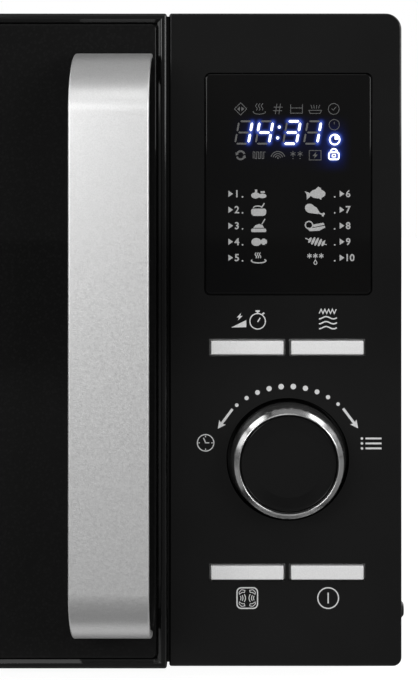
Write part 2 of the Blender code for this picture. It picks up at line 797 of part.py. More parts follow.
def door_key():
    """The sprung plate in the door's free edge, whose two hooks catch in the latch board."""
    key = box("door_key", (131.5, 136.5), (7, 12), (46, 250), WHITE_NYLON)
    arms = [
        box(f"hook_arm_{i}", HOOK_X, (9, 52), around(z, 4), None) for i, z in enumerate(HOOK_Z)
    ]
    noses = [
        box(f"hook_nose_{i}", inward(HOOK_X, 0.2), (45, 51.8), (z - 8.5, z), None, 1.5)
        for i, z in enumerate(HOOK_Z)
    ]
    return join(key, *arms, *noses)


def latch_board():
    """The moulding behind the front frame that the hooks enter and the switches sit in."""
    face = box("latch_board", (124, 146), (REAR_SHEETS, 34), (45, 252), WHITE_NYLON)
    cut(face, slot_cutters("latch_slots", SLOT_X, (REAR_SHEETS - 10, 44), 12.0, 13.0))
    web = box("latch_web", (142.6, 145.4), (33, 76), (47, 250), None)
    ledges = [
        box(f"latch_ledge_{i}", (130, 144), (35, 43), (z - 18, z - 8.9), None)
        for i, z in enumerate(HOOK_Z)
    ]
    return join(face, web, *ledges)


def door_switches():
    """The two interlock switches, each just behind the tip of a hook."""
    for name, z in zip(("lower", "upper"), HOOK_Z):
        body = box(f"door_switch_{name}", (131.5, 142.3), (55, 75), around(z, 8), MATT_BLACK, 0.5)
        plunger = cylinder(f"switch_plunger_{name}", (134, 53.2, z), 1.5, 4, "Y", None, 10)
        join(body, plunger)


# Control panel


def button_spans(x, z, spare):
    return around(x, BUTTON_SIZE[0] / 2 + spare), around(z, BUTTON_SIZE[1] / 2 + spare)


def control_panel():
    panel = rounded(
        "control_panel",
        PANEL_X,
        (0, PANEL_BACK),
        FRONT_Z,
        (SEAM_RADIUS, BOTTOM_RADIUS, SEAM_RADIUS, TOP_RADIUS),
        GLOSS_BLACK,
        lip=0.8,
    )
    wall = PANEL_WALL
    hollow = box("panel_hollow", inward(PANEL_X, wall), (wall, 40), inward(FRONT_Z, wall), None)
    well = cylinder("knob_well", (KNOB_AT[0], 1, KNOB_AT[1]), 28, 10, "Y", None, 28)
    bore = cylinder("knob_bore", (KNOB_AT[0], -5, KNOB_AT[1]), KNOB_WELL_RADIUS, 13.5, "Y", None, 36)
    lip = box(
        "seam_lip",
        (SEAM_LIP[0], PANEL_X[0] + wall),
        (SEAM_LIP[1], PANEL_BACK),
        inward(FRONT_Z, SEAM_RADIUS),
        None,
    )
    bush = cylinder("bush_hole", (KNOB_AT[0], 0, KNOB_AT[1]), 4.8, 20, "Y", None, 16)
    seat = rounded("window_seat", WINDOW_X, (-5, 2), WINDOW_Z, (2.5,) * 4, None, segments=3)
    sight = box("window_sight", inward(WINDOW_X, 3.5), (-5, 10), inward(WINDOW_Z, 3.5), None)
    recesses = boxes(
        "button_recesses",
        [
            ((BUTTON_X[0] - 16.1, BUTTON_X[1] + 16.1), (-5, 0.7), around(z, BUTTON_SIZE[1] / 2 + 0.75))
            for z in BUTTON_Z
        ],
    )
    holes = []
    for z in BUTTON_Z:
        for x in BUTTON_X:
            x_span, z_span = button_spans(x, z, 0.35)
            holes.append((x_span, (-4, 10), z_span))
    cut(panel, hollow)
    join(panel, well, lip)
    return cut(panel, bore, bush, seat, sight, recesses, boxes("button_holes", holes))


def display_window():
    x, z = inward(WINDOW_X, GAP), inward(WINDOW_Z, GAP)
    rounded("display_window", x, (0.3, 1.7), z, (2.2,) * 4, SMOKED_LENS, segments=3, lip=0.25)


def buttons():
    """Four bar-shaped caps, each with a flange behind the panel and a stem to its switch."""
    names = (("power", "grill"), ("stop", "start"))
    for row, z in zip(names, BUTTON_Z):
        for name, x in zip(row, BUTTON_X):
            x_span, z_span = button_spans(x, z, 0.0)
            cap = box(f"button_{name}", x_span, (-BUTTON_PROUD, 8), z_span, SILVER_PAINT, 0.35)
            flange_x, flange_z = button_spans(x, z, 1.1)
            flange = box(f"{name}_flange", flange_x, (3.6, 5.1), flange_z, None)
            stem = box(f"{name}_stem", around(x, 2.5), (7, 15), around(z, 2), None)
            join(cap, flange, stem)


def knob():
    """The black grip, hollow behind, with its face set down inside a bevelled chrome ring."""
    at = (KNOB_AT[0], 0, KNOB_AT[1])
    top = KNOB_HEIGHT
    face = [(0, 10.7), (19.4, 11.1), (20.0, 10.7), (20.0, 9.2), (22.0, 9.2)]
    skirt = [(22.0, 2.9), (24.2, 2.9), (24.4, -6.5), (19.5, -6.5)]
    hub = [(19.5, 8.0), (7.0, 8.0), (7.0, -5.5), (3.3, -5.5), (3.3, 5.0), (0, 5.0)]
    turned("knob", at, "-Y", face + skirt + hub, MATT_BLACK, steps=28)
    ring = [(20.3, 10.9), (20.6, top - 0.3), (20.9, top), (22.9, top - 1.9), (KNOB_RADIUS, top - 5.0)]
    back = [(KNOB_RADIUS, 3.2), (22.3, 3.2), (22.3, 9.5), (20.3, 9.5)]
    turned("knob_ring", at, "-Y", ring + back, CHROME, steps=28, closed=True)


def encoder():
    """The rotary encoder on the board, and its shaft, which the knob sits on."""
    x, z = KNOB_AT
    body = box("encoder", around(x, 7), (11.4, 18.7), around(z, 7), CAN, 0.5)
    bush = cylinder("encoder_bush", (x, 6, z), 4.2, 7, "Y", None, 16)
    bore = cylinder("encoder_bore", (x, 0, z), 3.3, 17, "Y", None, 16)
    cut(join(body, bush), bore)
    cylinder("encoder_shaft", (x, -4.5, z), 3.0, 21, "Y", GALVANISED, 16)


def control_board():
    board = box("control_board", (152, 236), BOARD, (30, 262), BOARD_GREEN)
    pieces = []
    for i, z in enumerate(BUTTON_Z):
        for j, x in enumerate(BUTTON_X):
            pieces.append(box(f"tact_switch_{i}{j}", around(x, 3), (16.8, 19.4), around(z, 3), None))
    pieces.append(box("board_relay", (165, 183), (20.2, 36), (60, 80), None, 0.5))
    pieces.append(box("board_transformer", (194, 226), (20.2, 44), (62, 96), None, 1.0))
    return join(board, *pieces)


def display_module():
    box("display_module", (166, 223), (4, 18.7), (220, 254), MATT_BLACK, 0.6)


# Turntable


def turntable_motor():
    x, depth = TABLE_AT
    top = CAVITY_Z[0] - CAVITY_WALL - GAP
    can = cylinder("turntable_motor", (x, depth, top - 18), 25, 18, "Z", CAN, 28)
    ears = box("motor_ears", around(x, 31), around(depth, 6), (top - 1.5, top), None)
    bore = cylinder("motor_bore", (x, depth, top - 9), 4.4, 20, "Z", None, 16)
    return cut(join(can, ears), bore)


def coupler():
    """The drive hub, with its stem in the motor and three arms under the tray."""
    x, depth = TABLE_AT
    profile = [(0, 55), (8, 55), (10, 53), (10, 44.5), (4, 44.5), (4, 31), (0, 31)]
    hub = turned("coupler", (x, depth, 0), "Z", profile, WHITE_NYLON, steps=18)
    bm = bmesh.new()
    for i in range(3):
        swing = Matrix.Translation(world(x, depth, 51.5)) @ Matrix.Rotation(2 * math.pi * i / 3, 4, "Z")
        arm = Matrix.Translation((13 * MM, 0, 0)) @ Matrix.Diagonal((18 * MM, 5 * MM, 6 * MM, 1))
        bmesh.ops.create_cube(bm, size=1.0, matrix=swing @ arm)
    return join(hub, from_bmesh("coupler_arms", bm, None))


def turntable_tray():
    """The glass plate, with three lugs below that sit between the coupler's arms."""
    x, depth = TABLE_AT
    under, r = TRAY_UNDER, TRAY_RADIUS
    top = [(0, under + 4), (r - 20, under + 4), (r - 6, under + 10), (r, under + 12)]
    bottom = [(r + 0.5, under + 10.5), (r - 4, under + 7), (r - 17, under), (0, under)]
    tray = turned("turntable_tray", (x, depth, 0), "Z", top + bottom, CLEAR_GLASS, steps=40)
    bm = bmesh.new()
    for i in range(3):
        angle = 2 * math.pi * (i + 0.5) / 3
        swing = Matrix.Translation(world(x, depth, under - 1)) @ Matrix.Rotation(angle, 4, "Z")
        lug = Matrix.Translation((15 * MM, 0, 0)) @ Matrix.Diagonal((6 * MM, 6 * MM, 4 * MM, 1))
        bmesh.ops.create_cube(bm, size=1.0, matrix=swing @ lug)
    return join(tray, from_bmesh("tray_lugs", bm, None))


ROLLER_ANGLES = (90.0, 210.0, 330.0)


def radial(angle):
    """Turns a cylinder's own axis to point outwards from the turntable at angle."""
    return Matrix.Rotation(math.radians(angle), 4, "Z") @ AXIS_TURN["X"]


def from_table_centre(radius, angle, z):
    a = math.radians(angle)
    return TABLE_AT[0] + radius * math.cos(a), TABLE_AT[1] + radius * math.sin(a), z


def roller_ring():
    """The ring that carries the three rollers on axles that point outwards."""
    profile = [(84.0, 2.4), (89.0, 2.4), (89.0, -2.4), (84.0, -2.4)]
    ring = turned(
        "roller_ring", (*TABLE_AT, ROLLER_Z), "Z", profile, WHITE_NYLON, steps=36, closed=True
    )
    axles = [
        cylinder(
            f"roller_axle_{i}",
            from_table_centre(86, angle, ROLLER_Z),
            1.7,
            16,
            "",
            None,
            12,
            turn=radial(angle),
        )
        for i, angle in enumerate(ROLLER_ANGLES)
    ]
    return join(ring, *axles)


def rollers():
    for i, angle in enumerate(ROLLER_ANGLES, 1):
        start = from_table_centre(ROLLER_TRACK - 3.5, angle, ROLLER_Z)
        wheel = cylinder(
            f"roller_{i}", start, ROLLER_RADIUS, 7, "", WHITE_NYLON, 24, turn=radial(angle)
        )
        inner = from_table_centre(ROLLER_TRACK - 10, angle, ROLLER_Z)
        cut(wheel, cylinder(f"roller_bore_{i}", inner, 2.1, 20, "", None, 12, turn=radial(angle)))


def shade_smooth():
    """Round faces are shaded smooth, and edges over 35 degrees stay sharp."""
    for obj in PARTS.objects:
        if obj.type == "MESH":
            obj.data.shade_smooth()
            obj.data.set_sharp_from_angle(angle=math.radians(35))


def build():
    for make in (
        outer_wrapper,
        base_plate,
        back_plate,
        front_frame,
        cavity_liner,
        side_screws,
        back_screws,
        feet,
        rear_spacer,
        cord_gland,
        waveguide,
        waveguide_cover,
        magnetron,
        transformer,
        hv_capacitor,
        fan_duct,
        fan_motor,
        fan_blade,
        cavity_lamp,
        noise_filter,
        grill_heater,
        door_frame,
        hinges,
        door_glass,
        door_choke,
        choke_cover,
        inner_window,
        handle,
        door_key,
        latch_board,
        door_switches,
        control_panel,
        display_window,
        buttons,
        knob,
        encoder,
        control_board,
        display_module,
        turntable_motor,
        coupler,
        turntable_tray,
        roller_ring,
        rollers,
    ):
        make()
    shade_smooth()


build()
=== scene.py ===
"""The looks of a countertop microwave oven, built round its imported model.

Lengths are in millimetres: X to the right as a user faces the oven, depth backwards from the
control panel's front plane, and Z up from the surface that the oven stands on.
"""
import json
import math

import bmesh
import bpy
import numpy as np
from mathutils import Matrix, Vector

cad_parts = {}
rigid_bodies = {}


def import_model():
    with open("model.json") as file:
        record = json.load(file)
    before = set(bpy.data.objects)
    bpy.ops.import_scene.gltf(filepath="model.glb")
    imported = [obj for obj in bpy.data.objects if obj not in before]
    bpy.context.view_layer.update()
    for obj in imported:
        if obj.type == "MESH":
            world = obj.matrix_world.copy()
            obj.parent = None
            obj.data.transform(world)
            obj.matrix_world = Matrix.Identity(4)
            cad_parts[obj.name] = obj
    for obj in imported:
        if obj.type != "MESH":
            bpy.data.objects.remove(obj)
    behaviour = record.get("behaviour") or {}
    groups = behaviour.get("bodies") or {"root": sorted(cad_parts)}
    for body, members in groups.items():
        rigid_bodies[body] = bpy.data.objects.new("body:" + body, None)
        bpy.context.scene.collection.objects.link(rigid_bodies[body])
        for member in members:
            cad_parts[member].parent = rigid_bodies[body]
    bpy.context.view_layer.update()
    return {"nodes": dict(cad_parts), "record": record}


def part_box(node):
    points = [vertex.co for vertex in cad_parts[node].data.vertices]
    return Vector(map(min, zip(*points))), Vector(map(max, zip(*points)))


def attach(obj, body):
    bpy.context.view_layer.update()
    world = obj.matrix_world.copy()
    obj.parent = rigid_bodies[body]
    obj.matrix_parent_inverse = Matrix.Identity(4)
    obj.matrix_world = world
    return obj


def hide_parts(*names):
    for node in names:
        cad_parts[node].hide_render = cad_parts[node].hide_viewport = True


for start_object in list(bpy.data.objects):
    bpy.data.objects.remove(start_object)
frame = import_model()

MM = 0.001
FRONT_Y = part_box("control_panel")[0].y
UP, OUT = (0, 0, 1), (0, -1, 0)


def span(node, axis):
    """A CAD node's lowest and highest value along an axis, in millimetres."""
    low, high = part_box(node)
    shift = FRONT_Y if axis == 1 else 0.0
    return (low[axis] - shift) / MM, (high[axis] - shift) / MM


def middle(node, axis):
    return sum(span(node, axis)) / 2


def world(x, depth, z):
    return Vector((x * MM, FRONT_Y + depth * MM, z * MM))


# Places that several pieces share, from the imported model

PANEL_X, PANEL_Z = span("control_panel", 0), span("control_panel", 2)
DOOR_X, DOOR_Z = span("door_frame", 0), span("door_frame", 2)
DOOR_FRONT = span("door_frame", 1)[0]
GLASS_X, GLASS_Z = span("door_glass", 0), span("door_glass", 2)
LENS_X, LENS_Z = span("display_window", 0), span("display_window", 2)
LENS_FRONT = span("display_window", 1)[0]
LENS = middle("display_window", 0), middle("display_window", 2)
KNOB = middle("knob", 0), middle("knob", 2)
KNOB_FRONT = -span("knob_ring", 1)[0]
KEYS = {name: (middle(f"button_{name}", 0), middle(f"button_{name}", 2)) for name in
        ("power", "grill", "stop", "start")}
KEY_CAP = (30.8, 5.9)
TABLE = middle("turntable_tray", 0), middle("turntable_tray", 1)


# Materials


class Look:
    """A Principled material whose colour, roughness and relief come from nodes."""

    def __init__(self, name, colour, roughness, metallic=0.0, **constants):
        self.material = bpy.data.materials.new(name)
        self.material.use_nodes = True
        self.tree = self.material.node_tree
        self.shader = self.tree.nodes["Principled BSDF"]
        self.place = self.add("TexCoord").outputs["Object"]
        self.put("Base Color", (*colour, 1.0))
        self.put("Roughness", roughness)
        self.put("Metallic", metallic)
        for socket, value in constants.items():
            self.put(socket.replace("_", " "), value)

    def put(self, socket, value):
        self.shader.inputs[socket].default_value = value

    def join(self, source, socket):
        self.tree.links.new(source, socket)

    def add(self, kind, inputs=None, **settings):
        node = self.tree.nodes.new("ShaderNode" + kind)
        for key, value in settings.items():
            setattr(node, key, value)
        for key, value in (inputs or {}).items():
            if isinstance(value, bpy.types.NodeSocket):
                self.join(value, node.inputs[key])
            else:
                node.inputs[key].default_value = value
        return node

    def stretched(self, factors):
        """Object coordinates, scaled along each axis."""
        mapping = self.add("Mapping", {"Vector": self.place, "Scale": factors})
        return mapping.outputs["Vector"]

    def noise(self, size, detail=3.0, stretch=None):
        """Noise whose features are about size millimetres across."""
        vector = self.stretched(stretch) if stretch else self.place
        settings = {"Vector": vector, "Scale": 1 / (size * MM), "Detail": detail}
        return self.add("TexNoise", settings).outputs["Fac"]

    def cells(self, size, feature="F1", output="Distance", stretch=None):
        vector = self.stretched(stretch) if stretch else self.place
        settings = {"Vector": vector, "Scale": 1 / (size * MM)}
        return self.add("TexVoronoi", settings, feature=feature).outputs[output]

    def bands(self, pitch, direction, distortion=0.0):
        """Stripes that repeat every pitch millimetres along X, Y or Z."""
        scale = math.pi / (10 * pitch * MM)
        settings = {"Vector": self.place, "Scale": scale, "Distortion": distortion}
        return self.add("TexWave", settings, bands_direction=direction).outputs["Fac"]

    def spread(self, factor, low, high, start=0.3, end=0.7):
        """Maps a factor's start..end onto low..high."""
        settings = {"Value": factor, "From Min": start, "From Max": end, "To Min": low, "To Max": high}
        return self.add("MapRange", settings).outputs["Result"]

    def vary_roughness(self, factor, low, high, **limits):
        self.join(self.spread(factor, low, high, **limits), self.shader.inputs["Roughness"])

    def blend(self, factor, first, second, start=0.3, end=0.7):
        """A colour between two others (colours or sockets), by a factor."""
        mix = self.add("Mix", data_type="RGBA")
        self.join(self.spread(factor, 0.0, 1.0, start, end), mix.inputs["Factor"])
        for socket, value in ((mix.inputs["A"], first), (mix.inputs["B"], second)):
            if isinstance(value, bpy.types.NodeSocket):
                self.join(value, socket)
            else:
                socket.default_value = (*value, 1.0)
        return mix.outputs["Result"]

    def vary_colour(self, factor, first, second, start=0.3, end=0.7):
        self.join(self.blend(factor, first, second, start, end), self.shader.inputs["Base Color"])

    def relief(self, height, distance, strength=1.0):
        """Bump from a height, distance millimetres deep, on top of any bump already there."""
        settings = {"Height": height, "Distance": distance * MM, "Strength": strength}
        bump = self.add("Bump", settings)
        normal = self.shader.inputs["Normal"]
        if normal.is_linked:
            self.join(normal.links[0].from_socket, bump.inputs["Normal"])
        self.join(bump.outputs["Normal"], normal)


def grey(value):
    return value, value, value


GLOSS_LEVEL = 0.16  # how strongly the black mouldings reflect, and their edges
EDGE_LEVEL = 0.4


def gloss_black(name="gloss_black", level=0.0072):
    """Polished black moulding: faint flow marks and a soft waviness."""
    look = Look(name, grey(level), 0.1, Specular_IOR_Level=GLOSS_LEVEL)
    look.vary_colour(look.noise(60), grey(level * 0.9), grey(level * 1.15))
    look.vary_roughness(look.noise(25, 4), 0.07, 0.13)
    look.relief(look.noise(9, 1), 0.02, 0.15)
    return look


def polished_edge():
    """The rounded and chamfered edges of the black mouldings, where the polish catches the light."""
    look = Look("polished_edge", grey(0.0032), 0.1, Specular_IOR_Level=EDGE_LEVEL)
    look.vary_colour(look.noise(60), grey(0.0028), grey(0.0038))
    look.vary_roughness(look.noise(25, 4), 0.08, 0.15)
    return look


def door_glass_look():
    """Back-painted black glass, with the fine dot print of its window."""
    look = Look("black_glass", grey(0.0034), 0.03, Specular_IOR_Level=GLOSS_LEVEL * 0.6)
    look.vary_roughness(look.noise(40, 4), 0.02, 0.05)
    dots = look.cells(1.5, stretch=(1, 0.02, 1))
    look.vary_colour(dots, grey(0.0078), grey(0.0060), start=0.32, end=0.4)
    look.relief(look.noise(70, 1), 0.04, 0.1)
    return look


def smoked(name):
    """Smoked plastic, for the lens and for the patch of it that the lit segments shine through."""
    look = Look(name, grey(0.0042), 0.05, Specular_IOR_Level=GLOSS_LEVEL * 0.7)
    look.vary_colour(look.noise(30), (0.0038, 0.0038, 0.0040), (0.0046, 0.0045, 0.0044))
    look.vary_roughness(look.noise(20, 4), 0.04, 0.07)
    return look


def glow_look():
    """The lens where the lit segments shine through it: its colour attribute is the light."""
    look = smoked("lens_glow")
    glow = look.add("Attribute", attribute_name="glow")
    look.join(glow.outputs["Color"], look.shader.inputs["Emission Color"])
    look.put("Emission Strength", 1.0)
    return look


def matt_black():
    """Spark-eroded black plastic with a fine grain."""
    look = Look("matt_black", grey(0.012), 0.5)
    look.vary_colour(look.noise(0.8), grey(0.0096), grey(0.0156))
    look.vary_roughness(look.noise(6, 4), 0.42, 0.6)
    look.relief(look.noise(0.5, 2), 0.03, 0.5)
    return look


def silver_paint(name="silver_paint", level=0.72, metallic=0.85):
    """Satin silver lacquer with fine metal flake."""
    look = Look(name, grey(level), 0.40, metallic=metallic)
    look.vary_colour(look.noise(0.45, 4), grey(level * 0.93), grey(level * 1.06))
    look.vary_roughness(look.noise(1.2, 4), 0.36, 0.46)
    look.relief(look.noise(0.4, 3), 0.012, 0.5)
    return look


def chrome():
    look = Look("chrome", grey(0.62), 0.06, metallic=0.96)
    look.vary_colour(look.noise(3, 4), grey(0.58), grey(0.66))
    look.vary_roughness(look.noise(2, 5, stretch=(0.35, 1, 1)), 0.10, 0.26)
    return look


def powder_coat():
    """Black powder coat on sheet steel: a fine wrinkle under a soft sheen."""
    look = Look("powder_coat", grey(0.010), 0.46, Specular_IOR_Level=0.25)
    look.vary_colour(look.noise(2, 4), grey(0.0085), grey(0.0125))
    look.vary_roughness(look.noise(1.6, 3), 0.43, 0.5)
    look.relief(look.noise(0.9, 3), 0.02, 0.4)
    return look


def galvanised():
    """Zinc-coated steel with its spangle."""
    look = Look("galvanised", grey(0.5), 0.35, metallic=1.0)
    tint = look.cells(7, output="Color")
    look.vary_colour(tint, (0.48, 0.49, 0.50), (0.57, 0.58, 0.59), start=0.1, end=0.9)
    look.vary_roughness(tint, 0.33, 0.42, start=0.1, end=0.9)
    look.relief(look.noise(1.5, 3), 0.01, 0.3)
    return look


def enamel():
    """Grey cavity enamel with darker and lighter specks."""
    look = Look("cavity_enamel", grey(0.36), 0.3)
    specks = look.blend(look.noise(1.1, 2), grey(0.30), grey(0.40), start=0.35, end=0.45)
    look.vary_colour(look.noise(0.7, 2), specks, grey(0.56), start=0.68, end=0.72)
    look.vary_roughness(look.noise(14, 4), 0.22, 0.36)
    look.relief(look.noise(5, 2), 0.05, 0.2)
    return look


def clear_glass():
    look = Look("clear_glass", (0.93, 0.98, 0.97), 0.02, IOR=1.5, Transmission_Weight=1.0)
    look.vary_colour(look.noise(80), (0.93, 0.98, 0.97), (0.90, 0.97, 0.955))
    look.vary_roughness(look.noise(30, 4), 0.01, 0.05)
    return look


def mica():
    look = Look("mica", (0.42, 0.34, 0.24), 0.55)
    flakes = look.cells(5, output="Color", stretch=(1, 0.6, 1))
    look.vary_colour(flakes, (0.34, 0.27, 0.18), (0.52, 0.44, 0.32), start=0.1, end=0.9)
    look.vary_roughness(flakes, 0.3, 0.6)
    look.relief(look.noise(4, 4), 0.05, 0.5)
    return look


def laminations():
    """Stacked core plates, seen as fine lines across the stack."""
    look = Look("laminations", grey(0.2), 0.5, metallic=0.9)
    plates = look.bands(0.7, "Y", 0.3)
    look.vary_colour(plates, (0.10, 0.095, 0.09), (0.27, 0.26, 0.25))
    look.vary_roughness(look.noise(5, 4), 0.4, 0.65)
    look.relief(plates, 0.08, 0.6)
    return look


def copper_wire():
    look = Look("copper_wire", (0.6, 0.25, 0.1), 0.3, metallic=1.0)
    # The bands follow the turns. The colour is darker in the grooves between turns (painted shade) and
    # lighter on their crests (painted highlight). The same bands give the turns their real relief.
    turn_ridges_and_shade = look.bands(1.1, "Z", 0.4)
    look.vary_colour(turn_ridges_and_shade, (0.33, 0.12, 0.05), (0.72, 0.33, 0.15))
    look.vary_roughness(look.noise(4, 3), 0.25, 0.4)
    look.relief(turn_ridges_and_shade, 0.3, 0.9)
    return look


def drawn_aluminium():
    look = Look("drawn_aluminium", grey(0.7), 0.3, metallic=1.0)
    lines = look.noise(0.6, 3, stretch=(1, 1, 0.03))
    look.vary_colour(lines, grey(0.62), grey(0.76))
    look.vary_roughness(lines, 0.26, 0.42)
    look.relief(lines, 0.01, 0.3)
    return look


def circuit_board():
    """Green solder mask with copper tracks showing paler through it."""
    look = Look("circuit_board", (0.02, 0.16, 0.06), 0.35)
    tracks = look.cells(9, feature="DISTANCE_TO_EDGE")
    look.vary_colour(tracks, (0.05, 0.27, 0.10), (0.015, 0.13, 0.05), start=0.05, end=0.07)
    look.vary_roughness(look.noise(5, 3), 0.28, 0.4)
    look.relief(tracks, 0.03, 0.5)
    return look


def nylon():
    look = Look("white_nylon", (0.70, 0.70, 0.665), 0.45)
    look.vary_colour(look.noise(20), (0.70, 0.70, 0.658), (0.644, 0.637, 0.588))
    look.vary_roughness(look.noise(3, 4), 0.4, 0.55)
    look.relief(look.noise(1.5, 3), 0.02, 0.4)
    return look


def heater_steel():
    """A steel sheath that has been hot: straw and blue stains."""
    look = Look("heater_steel", grey(0.15), 0.4, metallic=1.0)
    stain = look.blend(look.noise(22, 3), (0.20, 0.15, 0.10), (0.10, 0.11, 0.15))
    look.vary_colour(look.noise(6, 4), stain, grey(0.20))
    look.vary_roughness(look.noise(3, 4), 0.3, 0.55)
    look.relief(look.noise(0.8, 3), 0.02, 0.5)
    return look


def rubber():
    look = Look("rubber", grey(0.014), 0.75)
    look.vary_colour(look.noise(3, 4), grey(0.010), grey(0.020))
    look.vary_roughness(look.noise(2, 4), 0.65, 0.85)
    look.relief(look.noise(0.7, 3), 0.05, 0.5)
    return look


def zinc():
    look = Look("zinc_plate", grey(0.6), 0.3, metallic=1.0)
    look.vary_colour(look.noise(1.5, 4), (0.52, 0.52, 0.50), (0.68, 0.67, 0.62))
    look.vary_roughness(look.noise(0.9, 4), 0.22, 0.42)
    look.relief(look.noise(0.5, 2), 0.01, 0.4)
    return look


def black_zinc():
    look = Look("black_zinc", grey(0.02), 0.35, metallic=0.5)
    look.vary_colour(look.noise(1.5, 4), grey(0.014), grey(0.028))
    look.vary_roughness(look.noise(0.9, 4), 0.3, 0.45)
    look.relief(look.noise(0.5, 2), 0.01, 0.4)
    return look


def screen_steel():
    """The door's screen plate, with the fine round perforation of its window."""
    look = Look("screen_steel", grey(0.012), 0.42)
    holes = look.cells(2.2, stretch=(1, 0.02, 1))
    look.vary_colour(holes, grey(0.0015), grey(0.020), start=0.26, end=0.34)
    look.vary_roughness(look.noise(10, 4), 0.36, 0.5)
    look.relief(holes, 0.25, 0.5)
    return look


def print_look(name="screen_print", level=0.60):
    """Light grey screen print, a little mottled."""
    look = Look(name, grey(level), 0.5)
    look.vary_colour(look.noise(0.5, 3), grey(level * 0.88), grey(level * 1.1))
    look.vary_roughness(look.noise(0.8, 3), 0.45, 0.6)
    return look


def lit_look():
    """A lit display segment: nearly white, with the blue of the light behind it."""
    look = Look("display_lit", grey(0.8), 0.4)
    tint = look.blend(look.noise(0.9, 2), (0.78, 0.86, 1.0), (0.95, 0.97, 1.0))
    look.join(tint, look.shader.inputs["Emission Color"])
    look.put("Emission Strength", 1.6)
    return look


LOOKS = {
    "gloss": gloss_black(),
    "grip": gloss_black("knob_grip", 0.0060),
    "edge": polished_edge(),
    "glass": door_glass_look(),
    "lens": smoked("smoked_lens"),
    "glow": glow_look(),
    "matt": matt_black(),
    "silver": silver_paint(),
    "key": silver_paint("key_silver", 0.80, 0.2),
    "chrome": chrome(),
    "coat": powder_coat(),
    "galvanised": galvanised(),
    "enamel": enamel(),
    "clear": clear_glass(),
    "mica": mica(),
    "laminations": laminations(),
    "copper": copper_wire(),
    "aluminium": drawn_aluminium(),
    "board": circuit_board(),
    "nylon": nylon(),
    "heater": heater_steel(),
    "rubber": rubber(),
    "zinc": zinc(),
    "black_zinc": black_zinc(),
    "screen": screen_steel(),
    "print": print_look(),
    "signs": print_look("sign_print", 0.38),
    "faint": print_look("display_unlit", 0.085),
    "lit": lit_look(),
}
MATERIAL = {name: look.material for name, look in LOOKS.items()}

SLOT_LOOKS = {
    "gloss_black_plastic": "gloss",
    "matt_black_plastic": "matt",
    "black_glass": "glass",
    "smoked_lens": "lens",
    "black_painted_steel": "coat",
    "silver_painted_plastic": "key",
    "chrome_ring": "chrome",
    "galvanised_steel": "galvanised",
    "cavity_enamel": "enamel",
    "clear_glass": "clear",
    "mica": "mica",
    "transformer_steel": "laminations",
    "copper_winding": "copper",
    "aluminium_can": "aluminium",
    "circuit_board": "board",
    "white_nylon": "nylon",
    "heater_sheath": "heater",
    "black_rubber": "rubber",
    "zinc_screw": "zinc",
}


SLOTS = {row["node"]: row["material_slot"] for row in frame["record"]["subparts"]}


def dress_nodes():
    """Gives each CAD node the look of its slot in the record."""
    for node, obj in frame["nodes"].items():
        obj.data.materials.clear()
        obj.data.materials.append(MATERIAL[SLOT_LOOKS[SLOTS[node]]])
    frame["nodes"]["door_choke"].data.materials[0] = MATERIAL["screen"]


# Shape helpers


def new_object(name, bm, look):
    mesh = bpy.data.meshes.new(name)
    bm.to_mesh(mesh)
    bm.free()
    obj = bpy.data.objects.new(name, mesh)
    bpy.context.scene.collection.objects.link(obj)
    mesh.materials.append(MATERIAL[look])
    return obj


def finished(obj, body, slot, *nodes, angle=35):
    """Smooths a piece but keeps its flats flat, puts it on its body and hides its CAD nodes; its slot is
    not used.
    """
    obj.data.shade_smooth()
    obj.data.set_sharp_from_angle(angle=math.radians(angle))
    normals = obj.modifiers.new("normals", "WEIGHTED_NORMAL")
    normals.keep_sharp = True
    baked(obj)
    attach(obj, body)
    if nodes:
        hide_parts(*nodes)
    return obj


FLAT_FRONT, PLAIN_SIDE = -0.985, -0.12  # a normal's Y on a flat front and on a side


def polished(obj):
    """Gives the roundings and chamfers at the front of a moulding the look of its edges."""
    obj.data.materials.append(MATERIAL["edge"])
    for face in obj.data.polygons:
        if FLAT_FRONT < face.normal.y < PLAIN_SIDE:
            face.material_index = 1
    return obj


def evaluated_mesh(obj):
    return bpy.data.meshes.new_from_object(obj.evaluated_get(bpy.context.evaluated_depsgraph_get()))


def baked(obj):
    """Applies an object's modifiers."""
    mesh = evaluated_mesh(obj)
    obj.modifiers.clear()
    obj.data = mesh
    return obj


def carved(obj, *cutters):
    """Cuts the cutters out of an object and removes them."""
    for cutter in cutters:
        modifier = obj.modifiers.new("cut", "BOOLEAN")
        modifier.object = cutter
        modifier.solver = "EXACT"
    baked(obj)
    for cutter in cutters:
        bpy.data.objects.remove(cutter)
    return obj


def bevelled(obj, width, segments=2, angle=40):
    modifier = obj.modifiers.new("bevel", "BEVEL")
    modifier.width = width * MM
    modifier.segments = segments
    modifier.limit_method = "ANGLE"
    modifier.angle_limit = math.radians(angle)
    modifier.use_clamp_overlap = True
    return baked(obj)


def grown(limits, by):
    return limits[0] - by, limits[1] + by


def outline(x, z, radii, inset=0.0, steps=8):
    """A rounded rectangle as (x, z) points; radii are for the corners --, +-, ++ and -+."""
    points = []
    signs = ((-1, -1), (1, -1), (1, 1), (-1, 1))
    for quarter, ((sx, sz), radius) in enumerate(zip(signs, radii)):
        r = max(radius - inset, 0.05)
        cx = (x[0] if sx < 0 else x[1]) - sx * (inset + r)
        cz = (z[0] if sz < 0 else z[1]) - sz * (inset + r)
        for i in range(steps + 1):
            a = math.radians(180 + 90 * quarter + 90 * i / steps)
            points.append((cx + r * math.cos(a), cz + r * math.sin(a)))
    return points


def loft(name, rings, look, ring_shaped=False):
    """A skin over closed rings of points, with its ends filled or joined to each other."""
    bm = bmesh.new()
    loops = [[bm.verts.new(p) for p in ring] for ring in rings]
    pairs = list(zip(loops, loops[1:]))
    if ring_shaped:
        pairs.append((loops[-1], loops[0]))
    for a, b in pairs:
        count = len(a)
        for i in range(count):
            j = (i + 1) % count
            bm.faces.new((a[i], a[j], b[j], b[i]))
    if not ring_shaped:
        bm.faces.new(loops[0])
        bm.faces.new(loops[-1])
    bmesh.ops.recalc_face_normals(bm, faces=bm.faces[:])
    return new_object(name, bm, look)


